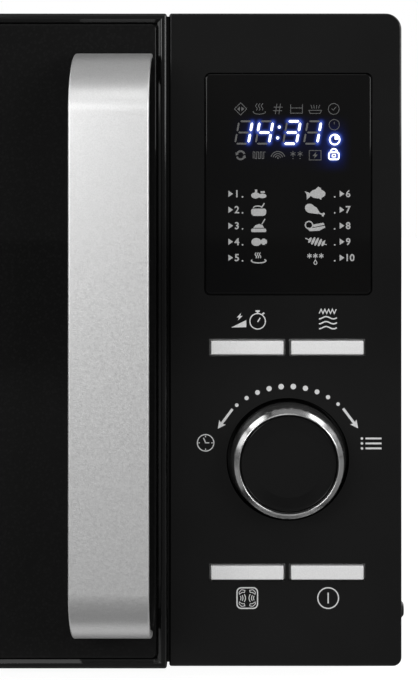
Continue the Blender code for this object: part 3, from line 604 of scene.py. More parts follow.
def slab(name, x, z, radii, profile, look, ring_shaped=False, steps=8):
    """A rounded rectangle whose edge follows a profile of (inset, depth)."""
    rings = [
        [world(px, depth, pz) for px, pz in outline(x, z, radii, inset, steps)]
        for inset, depth in profile
    ]
    return loft(name, rings, look, ring_shaped)


def block(x, depth, z):
    """A plain box for cutting."""
    return slab("cutter", x, z, (0, 0, 0, 0), [(0, depth[0]), (0, depth[1])], "matt", steps=1)


def softened(points, radius, steps=4, closed=False):
    """A polyline whose corners are rounded, as far as its legs allow."""
    result = []
    count = len(points)
    for i, corner in enumerate(points):
        if not closed and i in (0, count - 1):
            result.append(corner)
            continue
        here = Vector(corner)
        before, after = Vector(points[i - 1]), Vector(points[(i + 1) % count])
        reach = min(radius, (before - here).length * 0.45, (after - here).length * 0.45)
        a = here + (before - here).normalized() * reach
        b = here + (after - here).normalized() * reach
        for k in range(steps + 1):
            t = k / steps
            result.append(tuple(a * (1 - t) ** 2 + here * 2 * t * (1 - t) + b * t * t))
    return result


def turned(name, at, axis, profile, look, steps=96, ring_shaped=False):
    """A turned piece about axis at a world point; its profile is (radius, height along axis)."""
    swing = Vector((0, 0, 1)).rotation_difference(Vector(axis)).to_matrix()
    rings = []
    for i in range(steps):
        a = 2 * math.pi * i / steps
        ring = [Vector((r * MM * math.cos(a), r * MM * math.sin(a), h * MM)) for r, h in profile]
        rings.append([at + swing @ p for p in ring])
    bm = bmesh.new()
    lines = [[bm.verts.new(p) for p in ring] for ring in rings]
    count = len(profile)
    last = count if ring_shaped else count - 1
    for i in range(steps):
        a, b = lines[i], lines[(i + 1) % steps]
        for j in range(last):
            k = (j + 1) % count
            bm.faces.new((a[j], b[j], b[k], a[k]))
    bmesh.ops.remove_doubles(bm, verts=bm.verts[:], dist=1e-6)
    bmesh.ops.dissolve_degenerate(bm, edges=bm.edges[:], dist=1e-7)
    bmesh.ops.recalc_face_normals(bm, faces=bm.faces[:])
    return new_object(name, bm, look)


def refined(node, body, bevel=0.0):
    """A copy of a CAD node with its points joined, so that round faces shade smoothly."""
    slot = SLOTS[node]
    bm = bmesh.new()
    bm.from_mesh(frame["nodes"][node].data)
    bmesh.ops.remove_doubles(bm, verts=bm.verts[:], dist=1e-6)
    bmesh.ops.dissolve_limit(bm, angle_limit=math.radians(1), verts=bm.verts[:], edges=bm.edges[:])
    obj = new_object(f"{node}_finish", bm, SLOT_LOOKS[slot])
    if bevel:
        bevelled(obj, bevel)
    finished(obj, body, slot, node)


# Printed and lit shapes


LAYER_STEP = 0.0015  # overlapping shapes stand at slightly different heights
LAYERS = 6


class Pen:
    """Collects flat shapes on a plane that faces the front, and makes one thin piece of them."""

    def __init__(self, origin=(0.0, 0.0)):
        self.bm = bmesh.new()
        self.shapes = 0
        self.origin = origin
        self.move(0, 0)

    def move(self, x, z, slant=0.0):
        """What follows is drawn round (x, z), which is counted from the pen's origin."""
        self.x, self.z, self.slant = self.origin[0] + x, self.origin[1] + z, slant
        return self

    def vert(self, point):
        x, z = point
        lift = LAYER_STEP * (self.shapes % LAYERS)
        return self.bm.verts.new((self.x + x + self.slant * z, -lift, self.z + z))

    def fill(self, points):
        self.shapes += 1
        self.bm.faces.new([self.vert(p) for p in points])

    def disc(self, x, z, rx, rz=None, tilt=0.0, steps=20):
        rz = rz or rx
        c, s = math.cos(math.radians(tilt)), math.sin(math.radians(tilt))
        points = []
        for i in range(steps):
            a = 2 * math.pi * i / steps
            u, v = rx * math.cos(a), rz * math.sin(a)
            points.append((x + u * c - v * s, z + u * s + v * c))
        self.fill(points)

    def stroke(self, points, width, closed=False):
        """A line of even width, mitred at its corners."""
        self.shapes += 1
        pts = [Vector(p) for p in points]
        count = len(pts)
        sides = []
        for i in range(count):
            before = pts[i] - pts[i - 1] if closed or i else pts[1] - pts[0]
            after = pts[(i + 1) % count] - pts[i] if closed or i < count - 1 else pts[-1] - pts[-2]
            a, b = before.normalized(), after.normalized()
            across = Vector((-a.y - b.y, a.x + b.x)).normalized()
            reach = width / 2 / max(across.dot(Vector((-b.y, b.x))), 0.4)
            sides.append((pts[i] + across * reach, pts[i] - across * reach))
        verts = [(self.vert(left), self.vert(right)) for left, right in sides]
        for i in range(count if closed else count - 1):
            (a, b), (c, d) = verts[i], verts[(i + 1) % count]
            self.bm.faces.new((a, c, d, b))

    def arc(self, x, z, radius, start, end, width, rz=None, steps=14):
        rz = rz or radius
        angles = [math.radians(start + (end - start) * i / steps) for i in range(steps + 1)]
        whole = abs(end - start) >= 360
        points = [(x + radius * math.cos(a), z + rz * math.sin(a)) for a in angles]
        self.stroke(points[:-1] if whole else points, width, closed=whole)

    def ring(self, x, z, radius, width):
        self.arc(x, z, radius, 0, 360, width, steps=28)

    def wave(self, x, z, length, height, cycles, width, upright=False, start=0.0):
        """A sine line centred on (x, z); start is its first angle in degrees."""
        points = []
        steps = int(cycles * 10)
        for i in range(steps + 1):
            t = i / steps
            u, v = (t - 0.5) * length, height * math.sin(2 * math.pi * cycles * t + math.radians(start))
            points.append((x + v, z + u) if upright else (x + u, z + v))
        self.stroke(points, width)

    def flake(self, x, z, radius, width):
        for angle in (30, 90, 150):
            a = math.radians(angle)
            u, v = radius * math.cos(a), radius * math.sin(a)
            self.stroke([(x - u, z - v), (x + u, z + v)], width)

    def number(self, text, x, z, height):
        """A numeral, centred on (x, z)."""
        font = bpy.data.curves.new("numeral", "FONT")
        font.body = text
        font.offset = 0.02
        font.resolution_u = 3
        holder = bpy.data.objects.new("numeral", font)
        bpy.context.scene.collection.objects.link(holder)
        mesh = evaluated_mesh(holder)
        points = np.array([v.co[:2] for v in mesh.vertices])
        low, high = points.min(0), points.max(0)
        scale = height / (high[1] - low[1])
        points = (points - (low + high) / 2) * scale + (x, z)
        verts = [self.vert(p) for p in points]
        for face in mesh.polygons:
            self.bm.faces.new([verts[i] for i in face.vertices])
        bpy.data.objects.remove(holder)

    def make(self, name, look, face, slot, body="cabinet", thickness=0.06):
        """Ends the drawing: a thin piece whose back lies just inside a face at depth face."""
        bm = self.bm
        made = bmesh.ops.extrude_face_region(bm, geom=bm.faces[:], use_keep_orig=True)["geom"]
        bmesh.ops.translate(
            bm, vec=(0, -thickness, 0), verts=[v for v in made if isinstance(v, bmesh.types.BMVert)]
        )
        for v in bm.verts:
            v.co = world(v.co.x, face + 0.01 + v.co.y, v.co.z)
        bmesh.ops.recalc_face_normals(bm, faces=bm.faces[:])
        return finished(new_object(name, bm, look), body, slot)


# The front: door, panel, keys and knob

RIM = 4.2  # how far the door's rim stands in from its edge
LIP = 1.1
PANEL_LIP = 0.9
HINGE_NOTCH = 18.0  # height of the lower hinge's notch in the rim
NOTCH_HEIGHT = 7.0
NOTCH_DEPTH = (4.5, 40)
HEEL_WIDTH, HEEL_DEPTH = 13, (22, 40)  # what is cut away beside the hinges for the door to turn
INNER_PLATE_HOLE = (-215, 121), (37, 260)


def rounded_lip(radius, front):
    """A quarter round from a side to the front, as (inset, depth)."""
    angles = [math.radians(18 * i) for i in range(6)]
    return [(radius * (1 - math.cos(a)), front + radius * (1 - math.sin(a))) for a in angles]


def door_rim():
    """The door's moulded frame: rounded outer edge, flat land, and a chamfer down to the glass."""
    x, z, front = DOOR_X, DOOR_Z, DOOR_FRONT
    back = span("door_frame", 1)[1]
    edge = [(0.4, back), (0, back - 0.6)] + rounded_lip(LIP, front)
    land = [(2.2, front), (2.5, front + 0.1), (RIM - 0.4, front + 1.0), (RIM - 0.1, front + 1.4)]
    inside = [(RIM - 0.1, 2.9), (2.8, 3.3), (2.8, back - 0.3), (2.3, back)]
    rim = slab("door_rim", x, z, (3.7, 1.0, 1.0, 6.8), edge + land + inside, "gloss", ring_shaped=True)
    plate = slab("plate", grown(x, -1), grown(z, -1), (3, 1, 1, 5), [(0, 0.2), (0, 3.0)], "gloss")
    hole = slab("hole", *INNER_PLATE_HOLE, (6,) * 4, [(0, -5), (0, 8)], "gloss")
    carved(plate, hole)
    for low in (HINGE_NOTCH, sum(PANEL_Z) - HINGE_NOTCH - NOTCH_HEIGHT):
        notch = block((x[0] - 5, x[0] + 5), NOTCH_DEPTH, (low, low + NOTCH_HEIGHT))
        carved(rim, notch)
    heel = block((x[0] - 5, x[0] + HEEL_WIDTH), HEEL_DEPTH, grown(z, 5))
    carved(rim, heel)
    finished(polished(rim), "door", "gloss_black_plastic", "door_frame")
    finished(plate, "door", "gloss_black_plastic")


def door_pane():
    """The black glass, with a small ground bevel round it."""
    front = span("door_glass", 1)[0]
    profile = [(0, -0.2), (0, front + 0.8), (0.15, front + 0.3), (0.7, front)]
    pane = slab("door_pane", GLASS_X, GLASS_Z, (2.0,) * 4, profile, "glass")
    finished(pane, "door", "black_glass", "door_glass")


BEND = 26.0  # how tall each of the handle's bends is
DOOR_FRONT_GAP = 4.1  # how far the handle's ends stand before the panel's plane


def strap_stations(inset):
    """Points (depth, z) and unit normals down the handle's side profile."""
    x_depth, z = span("handle_strip", 1), span("handle_strip", 2)
    reach = -DOOR_FRONT_GAP - x_depth[0]
    stations = []
    steps = 22
    for upper in (True, False):
        centre = z[1] - BEND if upper else z[0] + BEND
        sign = 1 if upper else -1
        for i in range(steps + 1):
            a = math.radians(90 * (1 - i / steps) if upper else 90 * i / steps)
            nd, nz = -BEND * math.cos(a), sign * reach * math.sin(a)
            length = math.hypot(nd, nz)
            normal = (nd / length, nz / length)
            depth = -DOOR_FRONT_GAP - reach * math.cos(a)
            height = centre + sign * BEND * math.sin(a)
            stations.append(((depth - inset * normal[0], height - inset * normal[1]), normal))
    flat = stations[steps], stations[steps + 1]
    count = 10
    between = []
    for i in range(1, count):
        t = i / count
        (d0, z0), normal = flat[0]
        (d1, z1), _ = flat[1]
        between.append(((d0 + (d1 - d0) * t, z0 + (z1 - z0) * t), normal))
    return stations[: steps + 1] + between + stations[steps + 1 :]


def strap(name, x, inset, thickness, edge, corner, look):
    """A bowed strap: a rounded rectangular section along the handle's profile."""
    stations = strap_stations(inset)
    centre, half = sum(x) / 2, (x[1] - x[0]) / 2
    travelled, rings = 0.0, []
    lengths = [0.0]
    for (a, _), (b, _) in zip(stations, stations[1:]):
        travelled += math.dist(a, b)
        lengths.append(travelled)
    for ((depth, z), normal), along in zip(stations, lengths):
        from_end = min(along, travelled - along)
        cut = corner - math.sqrt(max(corner**2 - max(corner - from_end, 0) ** 2, 0)) if corner else 0
        width = half - cut
        section = outline((-width, width), (-thickness, 0.0), (edge,) * 4, 0.0, 5)
        rings.append(
            [world(centre + u, depth + v * normal[0], z + v * normal[1]) for u, v in section]
        )
    return loft(name, rings, look)


def handle():
    strip = strap("handle_face", span("handle_strip", 0), 0.0, 2.2, 0.8, 3.6, "silver")
    finished(strip, "door", "silver_painted_plastic", "handle_strip", angle=50)
    core = strap("handle_body", span("handle_core", 0), 2.3, 6.7, 1.2, 0.0, "matt")
    finished(core, "door", "matt_black_plastic", "handle_core", angle=50)


WELL_RADIUS = 25.6
KEY_GAP = 0.75  # between a key and the edge of its pocket


def control_panel():
    """The glossy panel with its window seat, key pockets and knob well."""
    x, z = PANEL_X, PANEL_Z
    back = span("control_panel", 1)[1]
    profile = [(0, back)] + rounded_lip(PANEL_LIP, 0.0)
    panel = slab("panel_shell", x, z, (1.0, 3.7, 6.8, 1.0), profile, "gloss", steps=12)
    seat_edge = [(-0.7, -1), (0, 0.35), (0, 2.4)]
    seat = slab("seat", grown(LENS_X, 0.3), grown(LENS_Z, 0.3), (2.5,) * 4, seat_edge, "gloss")
    pockets = []
    for kx, kz in KEYS.values():
        across, up = (grown((at, at), size / 2 + KEY_GAP) for at, size in zip((kx, kz), KEY_CAP))
        pocket_edge = [(-0.5, -0.5), (0, 0.2), (0, 6.0)]
        pockets.append(slab("pocket", across, up, (0.4,) * 4, pocket_edge, "gloss"))
    well = turned("well", world(KNOB[0], 9, KNOB[1]), OUT,
                  [(0, 12), (WELL_RADIUS + 3.4, 12), (WELL_RADIUS + 0.4, 9.0), (WELL_RADIUS, 8.4),
                   (WELL_RADIUS, 0.5), (0, 0.5)], "gloss", steps=72)
    hollow = block(grown(x, -3), (12, 50), grown(z, -3))
    carved(panel, seat, *pockets, well, hollow)
    finished(polished(panel), "cabinet", "gloss_black_plastic", "control_panel")
    lip_x, edge = (x[0] - 1.35, x[0] + 3), [(0.3, 3.0), (0, 3.3), (0, 29.7)]
    seam = slab("panel_seam_lip", lip_x, grown(z, -1.0), (0.4,) * 4, edge, "gloss")
    finished(seam, "cabinet", "gloss_black_plastic")


def lens():
    """The smoked window, with a bevelled rim."""
    front, back = span("display_window", 1)
    profile = [(0, back), (0, front + 0.55), (0.15, front + 0.3), (0.9, front)]
    piece = slab("display_lens", LENS_X, LENS_Z, (2.2,) * 4, profile, "lens")
    finished(piece, "cabinet", "smoked_lens", "display_window")


def knob():
    """The black grip, its face set down inside a chrome ring that has a bevel on either side."""
    at = world(KNOB[0], 0, KNOB[1])
    top = KNOB_FRONT
    floor = top - 1.9
    face = [(0, floor - 0.5), (14, floor - 0.4), (19.0, floor), (20.0, floor - 0.2), (20.1, floor - 1.2)]
    skirt = [(21.4, floor - 1.2), (22.4, 1.4), (24.3, 0.9), (24.3, -6.3), (0, -6.3)]
    grip = turned("knob_grip", at, OUT, softened(face + skirt, 0.4), "grip")
    finished(grip, "knob", "matt_black_plastic", "knob")
    ring = [(20.3, floor - 0.4), (20.6, top - 0.3), (20.9, top), (21.2, top - 0.15)]
    ring += [(22.95, top - 2.0), (23.2, top - 2.7), (24.3, 2.0), (24.4, 1.1)]
    ring += [(22.7, 1.1), (21.7, floor - 0.8), (20.3, floor - 0.8)]
    band = turned("knob_band", at, OUT, softened(ring, 0.35, closed=True), "chrome", ring_shaped=True)
    finished(band, "knob", "chrome_ring", "knob_ring")


# Display


DIGIT_HEIGHT = 10.4
DIGIT_WIDTH = 5.65
SLANT = 0.185
SEGMENTS = {
    "top": ((-1, 1), (1, 1)),
    "upper_left": ((-1, 1), (-1, 0)),
    "upper_right": ((1, 1), (1, 0)),
    "bar": ((-1, 0), (1, 0)),
    "lower_left": ((-1, 0), (-1, -1)),
    "lower_right": ((1, 0), (1, -1)),
    "bottom": ((-1, -1), (1, -1)),
}
LIT_SEGMENTS = {
    "1": ("upper_right", "lower_right"),
    "3": ("top", "upper_right", "bar", "lower_right", "bottom"),
    "4": ("upper_left", "upper_right", "bar", "lower_right"),
}
TIME = (("1", -18.9), ("4", -10.15), ("3", 1.5), ("1", 10.3))
TIME_Z = 21.9
COLON = ((-3.8, 24.2), (-4.5, 19.6))
COLUMN = [-20.2 + 7.9 * i for i in range(6)]
ROW_TOP, ROW_BOTTOM = 31.9, 12.25
TIMER_AT, LOCK_AT, DIAL_AT = (19.7, 18.9), (19.35, 12.5), (19.5, 25.2)


def segment_line(name, x):
    """The two ends of a digit's segment, from the middle of the window."""
    half_w, half_h = DIGIT_WIDTH / 2, DIGIT_HEIGHT / 2 - 0.45
    ends = [Vector((x + u * half_w + SLANT * v * half_h, TIME_Z + v * half_h)) for u, v in SEGMENTS[name]]
    along = (ends[1] - ends[0]).normalized()
    return ends[0] + along * 0.55, ends[1] - along * 0.55


def draw_segment(pen, name, x, width):
    """A bar with pointed ends."""
    a, b = segment_line(name, x)
    along = (b - a).normalized()
    across = Vector((-along.y, along.x)) * width / 2
    tip = along * width * 0.45
    pen.fill([a, a + tip + across, b - tip + across, b, b - tip - across, a + tip - across])


def time_digits(lit, faint):
    for figure, x in TIME:
        for name in SEGMENTS:
            on = name in LIT_SEGMENTS[figure]
            draw_segment(lit if on else faint, name, x, 1.0 if on else 0.75)
    for x, z in COLON:
        lit.disc(x, z, 0.62)


def lit_signs(pen):
    """A timer with a quarter filled, and a padlock."""
    x, z = TIMER_AT
    pen.ring(x, z, 2.1, 0.6)
    angles = [math.radians(15 * i) for i in range(7)]
    pen.fill([(x, z)] + [(x + 1.5 * math.cos(a), z + 1.5 * math.sin(a)) for a in angles])
    x, z = LOCK_AT
    pen.stroke(outline((x - 2.1, x + 2.1), (z - 2.0, z + 1.0), (0.8,) * 4, 0, 3), 0.6, closed=True)
    pen.arc(x, z + 1.1, 1.35, 0, 180, 0.6)
    pen.stroke(outline((x - 0.7, x + 0.7), (z - 0.95, z + 0.05), (0.2,) * 4, 0, 2), 0.35, closed=True)


def faint_signs(pen):
    """The unlit symbols above, beside and below the time."""
    thin = 0.26
    x = COLUMN[0]
    pen.move(x, ROW_TOP)
    pen.stroke([(0, 2.6), (2.6, 0), (0, -2.6), (-2.6, 0)], thin, closed=True)
    for side in (-1, 1):
        pen.fill([(side * 0.3, 1.0), (side * 1.5, 0), (side * 0.3, -1.0)])
    pen.move(COLUMN[1], ROW_TOP)
    for i in (-1, 0, 1):
        pen.wave(i * 1.2, 0.9, 3.0, 0.35, 1.2, thin, upright=True)
    pen.arc(0, -1.3, 2.6, 160, 380, thin, rz=0.9)
    pen.move(COLUMN[2], ROW_TOP, slant=0.15)
    for i in (-0.75, 0.75):
        pen.stroke([(i, 2.2), (i, -2.2)], thin)
        pen.stroke([(-1.9, i), (1.9, i)], thin)
    pen.move(COLUMN[3], ROW_TOP)
    pen.stroke([(-2.5, 1.9), (-2.5, -1.8), (2.5, -1.8), (2.5, 1.9)], thin)
    pen.stroke([(-2.5, 0.4), (2.5, 0.4)], thin)
    pen.move(COLUMN[4], ROW_TOP)
    pen.stroke([(-2.7, -0.6), (2.7, -0.6), (2.1, -1.9), (-2.1, -1.9)], thin, closed=True)
    for u, lean in ((-1.3, -0.5), (-0.4, -0.15), (0.5, 0.2), (1.4, 0.55)):
        pen.stroke([(u, 0.2), (u + lean, 1.7)], thin)
    pen.move(COLUMN[5], ROW_TOP)
    pen.ring(0, 0, 2.3, thin)
    pen.stroke([(-0.9, 0.1), (-0.2, -0.5), (1.0, 0.9)], thin)
    pen.move(*DIAL_AT)
    pen.ring(0, 0, 2.2, thin)
    pen.stroke([(0, 0.2), (0, 1.2)], thin)
    pen.move(COLUMN[0], ROW_BOTTOM)
    for start in (20, 200):
        pen.arc(0, 0, 1.7, start, start + 130, 0.8)
        a = math.radians(start + 130)
        u, v = 1.7 * math.cos(a), 1.7 * math.sin(a)
        pen.fill([(u * 1.5, v * 1.5), (u * 0.5, v * 0.5), (u - 1.1 * math.sin(a), v + 1.1 * math.cos(a))])
    pen.move(COLUMN[1], ROW_BOTTOM)
    square = []
    for i in range(4):
        u = -2.6 + i * 1.5
        square += [(u, -1.4), (u, 1.4), (u + 0.75, 1.4), (u + 0.75, -1.4)]
    pen.stroke(square[:-1], thin)
    pen.move(COLUMN[2], ROW_BOTTOM)
    for radius in (1.2, 2.1, 3.0):
        pen.arc(0, -1.4, radius, 15, 165, thin * 1.2)
    pen.disc(0, -1.2, 0.35)
    pen.move(COLUMN[3], ROW_BOTTOM)
    for u in (-1.5, 1.5):
        pen.flake(u, 0.6, 1.2, thin)
        pen.disc(u, -1.4, 0.22)
    pen.move(COLUMN[4], ROW_BOTTOM)
    pen.stroke([(-2.5, -2.0), (2.5, -2.0), (2.5, 2.0), (-2.5, 2.0)], thin, closed=True)
    pen.fill([(0.5, 1.5), (-1.1, -0.3), (-0.1, -0.3), (-0.5, -1.5), (1.1, 0.3), (0.1, 0.3)])


def display():
    """The lit and unlit signs, drawn from the middle of the window."""
    lit, faint = Pen(LENS), Pen(LENS)
    time_digits(lit, faint)
    lit_signs(lit)
    faint_signs(faint)
    lit.make("display_lit_signs", "lit", LENS_FRONT, "display_light")
    faint.make("display_unlit_signs", "faint", LENS_FRONT, "printed_marks")


GLOW_X, GLOW_Z = (-27.0, 27.0), (4.0, 30.0)
GLOW_STEP = 0.5
HALO, HALO_REACH = 0.6, 1.0  # the light close to a segment: its strength, and how far it reaches
HAZE, HAZE_REACH = 0.022, 2.0  # the faint light farther out, which adds up over the segments


def glow():
    """A thin grid on the lens whose points are as bright as the light that spreads to them."""
    lines = [segment_line(name, x) for figure, x in TIME for name in LIT_SEGMENTS[figure]]
    lines += [(Vector(p), Vector(p) + Vector((0.01, 0))) for p in COLON]
    for (x, z), radius in ((TIMER_AT, 2.1), (LOCK_AT, 1.8)):
        turn = [Vector((x + radius * math.cos(a), z + radius * math.sin(a))) for a in
                (2 * math.pi * i / 10 for i in range(11))]
        lines += list(zip(turn, turn[1:]))
    xs = np.arange(GLOW_X[0], GLOW_X[1] + GLOW_STEP / 2, GLOW_STEP)
    zs = np.arange(GLOW_Z[0], GLOW_Z[1] + GLOW_STEP / 2, GLOW_STEP)
    gx, gz = np.meshgrid(xs, zs)
    light = np.zeros(gx.shape)
    for a, b in lines:
        along = b - a
        t = ((gx - a.x) * along.x + (gz - a.y) * along.y) / along.length_squared
        t = np.clip(t, 0, 1)
        distance = np.hypot(gx - a.x - t * along.x, gz - a.y - t * along.y)
        halo = HALO * np.exp(-((distance / HALO_REACH) ** 2))
        light = np.maximum(light, halo) + HAZE * np.exp(-distance / HAZE_REACH)
    edge_x = np.clip((GLOW_X[1] - np.abs(gx)) / 4, 0, 1)
    edge_z = np.clip(np.minimum(gz - GLOW_Z[0], GLOW_Z[1] - gz) / 3, 0, 1)
    light *= edge_x * edge_z
    bm = bmesh.new()
    layer = bm.verts.layers.float_color.new("glow")
    rows = []
    for r, z in enumerate(zs):
        row = []
        for c, x in enumerate(xs):
            vert = bm.verts.new(world(LENS[0] + x, LENS_FRONT - 0.02, LENS[1] + z))
            power = light[r, c]
            vert[layer] = (0.16 * power**1.6, 0.22 * power**1.3, 0.85 * power, 1.0)
            row.append(vert)
        rows.append(row)
    for low, high in zip(rows, rows[1:]):
        for i in range(len(low) - 1):
            bm.faces.new((low[i], low[i + 1], high[i + 1], high[i]))
    finished(new_object("display_glow", bm, "glow"), "cabinet", "smoked_lens")


# Programme list, key signs and the knob's scale


def vegetables(pen):
    pen.disc(-1.3, -0.6, 1.9, 1.3)
    pen.disc(1.6, -0.8, 1.7, 1.0)
    pen.fill([(-1.6, 0.7), (-0.6, 0.7), (-0.6, 1.9), (-1.6, 1.9)])
    pen.fill([(0.8, 0.5), (2.6, 0.5), (2.6, 1.2), (0.8, 1.2)])


def bowl(pen):
    pen.fill(outline((-3.2, 3.2), (-2.5, 0.6), (1.4, 1.4, 0.9, 0.9), 0, 4))
    pen.arc(-0.4, 0.8, 1.9, 10, 170, 0.45, rz=0.9)
    pen.stroke([(1.2, 1.0), (2.4, 2.9)], 0.5)


def casserole(pen):
    pen.fill(outline((-3.2, 3.2), (-2.6, -1.1), (0.6,) * 4, 0, 3))
    pen.fill([(-2.3, -0.8), (2.3, -0.8), (1.6, 0.4), (0.2, 0.9), (-1.4, 0.3)])
    pen.stroke([(1.3, 0.7), (2.7, 3.0)], 0.45)


def potatoes(pen):
    pen.disc(-1.0, 0, 2.1, 1.7)
    pen.disc(2.1, 0.1, 1.15, 1.35)
    pen.disc(3.3, 0.1, 0.2, 0.9)


def hot_plate(pen):
    pen.arc(0, -1.2, 3.1, 150, 400, 0.5, rz=0.9)
    for i in (-1, 0, 1):
        pen.wave(-0.3 + i * 0.9, 1.1, 2.4, 0.3, 1.1, 0.4, upright=True)


def fish(pen):
    pen.disc(1.0, 0.1, 3.3, 1.95)
    pen.fill([(-1.7, 0.2), (-4.5, 1.2), (-3.7, -0.2), (-3.6, -2.4), (-1.7, -0.6)])
    pen.fill([(-0.4, 1.6), (2.8, 1.5), (2.2, 2.6), (1.2, 3.1)])
    pen.fill([(1.2, -1.6), (2.7, -1.4), (2.5, -2.5)])


def drumstick(pen):
    pen.disc(-2.3, 0.7, 2.2, 1.9, tilt=-30)
    pen.fill([(-1.9, 2.4), (0.6, 1.0), (1.8, -1.0), (1.1, -1.7), (-2.8, -1.2)])
    pen.stroke([(1.2, -1.2), (3.2, -1.9)], 0.6)
    pen.disc(3.5, -1.6, 0.5)
    pen.disc(3.2, -2.3, 0.45)


def steak(pen):
    pen.ring(-2.7, 0.4, 1.55, 0.5)
    upper = [(-3.9, -0.6), (-1.4, -0.9), (4.0, 0.1), (4.4, 1.1), (3.8, 1.2)]
    pen.fill(upper + [(4.2, -0.6), (1.6, -2.0), (-2.4, -2.2)])
    pen.fill([(-1.0, 0.6), (3.4, 1.4), (3.9, 0.5), (-0.8, -0.5)])


def skewer(pen):
    for i in range(5):
        pen.disc(-2.3 + i * 1.4, 0.8 - 0.35 * i, 0.55, 1.9 - 0.16 * abs(i - 2) ** 2, tilt=-25)
    pen.stroke([(-4.3, 1.6), (-2.6, 0.9)], 0.4)
    pen.stroke([(3.2, -0.8), (4.8, -1.1)], 0.4)
    pen.stroke([(3.0, -0.1), (4.2, 0.6)], 0.4)


def thaw(pen):
    for i in (-2.5, 0, 2.5):
        pen.flake(i, 0.9, 1.05, 0.4)
    pen.arc(0, -2.05, 0.65, -230, 50, 0.35)
    pen.stroke([(-0.45, -1.6), (0, -0.8), (0.45, -1.6)], 0.35)


LEFT_SIGNS = (vegetables, bowl, casserole, potatoes, hot_plate)
RIGHT_SIGNS = (fish, drumstick, steak, skewer, thaw)
LIST_TOP, LIST_STEP = -4.2, 6.78
LIST_NUMBER_HEIGHT = 3.1
LEFT_SIGN_X, RIGHT_SIGN_X = -12.55, 11.5


def programme_list():
    """Ten numbered programmes in two columns, each with a food sign."""
    signs, numbers = Pen(), Pen()
    for i, (left, right) in enumerate(zip(LEFT_SIGNS, RIGHT_SIGNS)):
        z = LENS[1] + LIST_TOP - LIST_STEP * i
        left(signs.move(LENS[0] + LEFT_SIGN_X, z))
        right(signs.move(LENS[0] + RIGHT_SIGN_X, z))
        numbers.move(LENS[0], z)
        for value, x, dot, mark in ((i + 1, -21.8, -19.4, -25.4), (i + 6, 25.4, 19.7, 21.8)):
            numbers.number(str(value), x + (1.0 if value > 9 else 0.0), 0.15, LIST_NUMBER_HEIGHT)
            numbers.disc(dot, -1.2, 0.35)
            numbers.fill([(mark, 1.45), (mark + 2.0, 0.1), (mark, -1.25)])
    signs.make("programme_signs", "signs", LENS_FRONT, "printed_marks")
    numbers.make("programme_numbers", "signs", LENS_FRONT, "printed_marks")


def boxed_waves(pen, x, z):
    """A rounded box with three arcs facing in from each side and a bent blade in each corner."""
    half = 4.35
    pen.stroke(outline((x - half, x + half), (z - half, z + half), (1.8,) * 4, 0, 5), 0.5, closed=True)
    blade = [(3.35, 1.6), (3.45, 2.5), (2.4, 3.55), (1.0, 3.3), (1.2, 2.4), (2.2, 2.4)]
    for side in (-1, 1):
        for reach, rise, bow in ((0.75, 1.65, 0.5), (1.8, 1.2, 0.35), (2.65, 0.9, 0.25)):
            arc = [(reach + bow * t * t, rise * t) for t in (-1, -0.5, 0, 0.5, 1)]
            pen.stroke([(x + side * u, z + v) for u, v in arc], 0.32)
        for rise in (-1, 1):
            pen.stroke([(x + side * u, z + rise * v) for u, v in blade], 0.26, closed=True)


UPPER_SIGN_LIFT = 0.25
LOWER_SIGN_Z = -10.9  # middle of the signs under the lower keys, from the keys' middle


def key_signs():
    """The signs over the upper keys and under the lower ones."""
    pen = Pen()
    pen.move(KEYS["power"][0], KEYS["power"][1] + UPPER_SIGN_LIFT)
    pen.fill([(-6.8, 8.3), (-0.4, 8.4), (-0.4, 11.4)])
    pen.fill([(-2.6, 14.5), (-4.5, 12.5), (-3.5, 12.5), (-4.0, 11.2), (-2.0, 13.2), (-3.0, 13.2)])
    pen.ring(4.4, 10.9, 3.3, 0.45)
    pen.stroke([(4.4, 10.6), (5.5, 12.4)], 0.5)
    pen.stroke([(3.5, 15.2), (5.3, 15.2)], 0.7)
    pen.stroke([(4.4, 14.3), (4.4, 15.0)], 0.7)
    pen.stroke([(6.4, 13.9), (7.2, 14.5)], 0.7)
    pen.move(KEYS["grill"][0], KEYS["grill"][1] + UPPER_SIGN_LIFT)
    teeth = [(-3.4 + i * 0.8, 14.2 if i % 2 == 0 else 16.0) for i in range(10)]
    pen.stroke(teeth, 0.4)
    for z in (12.4, 10.3, 8.2):
        pen.wave(0.3, z, 7.6, 0.5, 1.25, 0.55, start=-90)
    pen.move(*KEYS["stop"])
    boxed_waves(pen, 0.0, LOWER_SIGN_Z)
    pen.move(*KEYS["start"])
    pen.ring(0.4, LOWER_SIGN_Z, 4.4, 0.5)
    pen.stroke([(0.4, LOWER_SIGN_Z + 2.3), (0.4, LOWER_SIGN_Z - 2.3)], 0.55)
    pen.make("key_signs", "print", 0.0, "printed_marks")


SCALE_AT = (0.1, -2.75)  # middle of the scale's arc, from the knob's axis
SCALE_RADIUS = 33.7
SCALE_DOTS = 10


def on_scale(angle, radius=SCALE_RADIUS):
    a = math.radians(angle)
    return SCALE_AT[0] + radius * math.cos(a), SCALE_AT[1] + radius * math.sin(a)


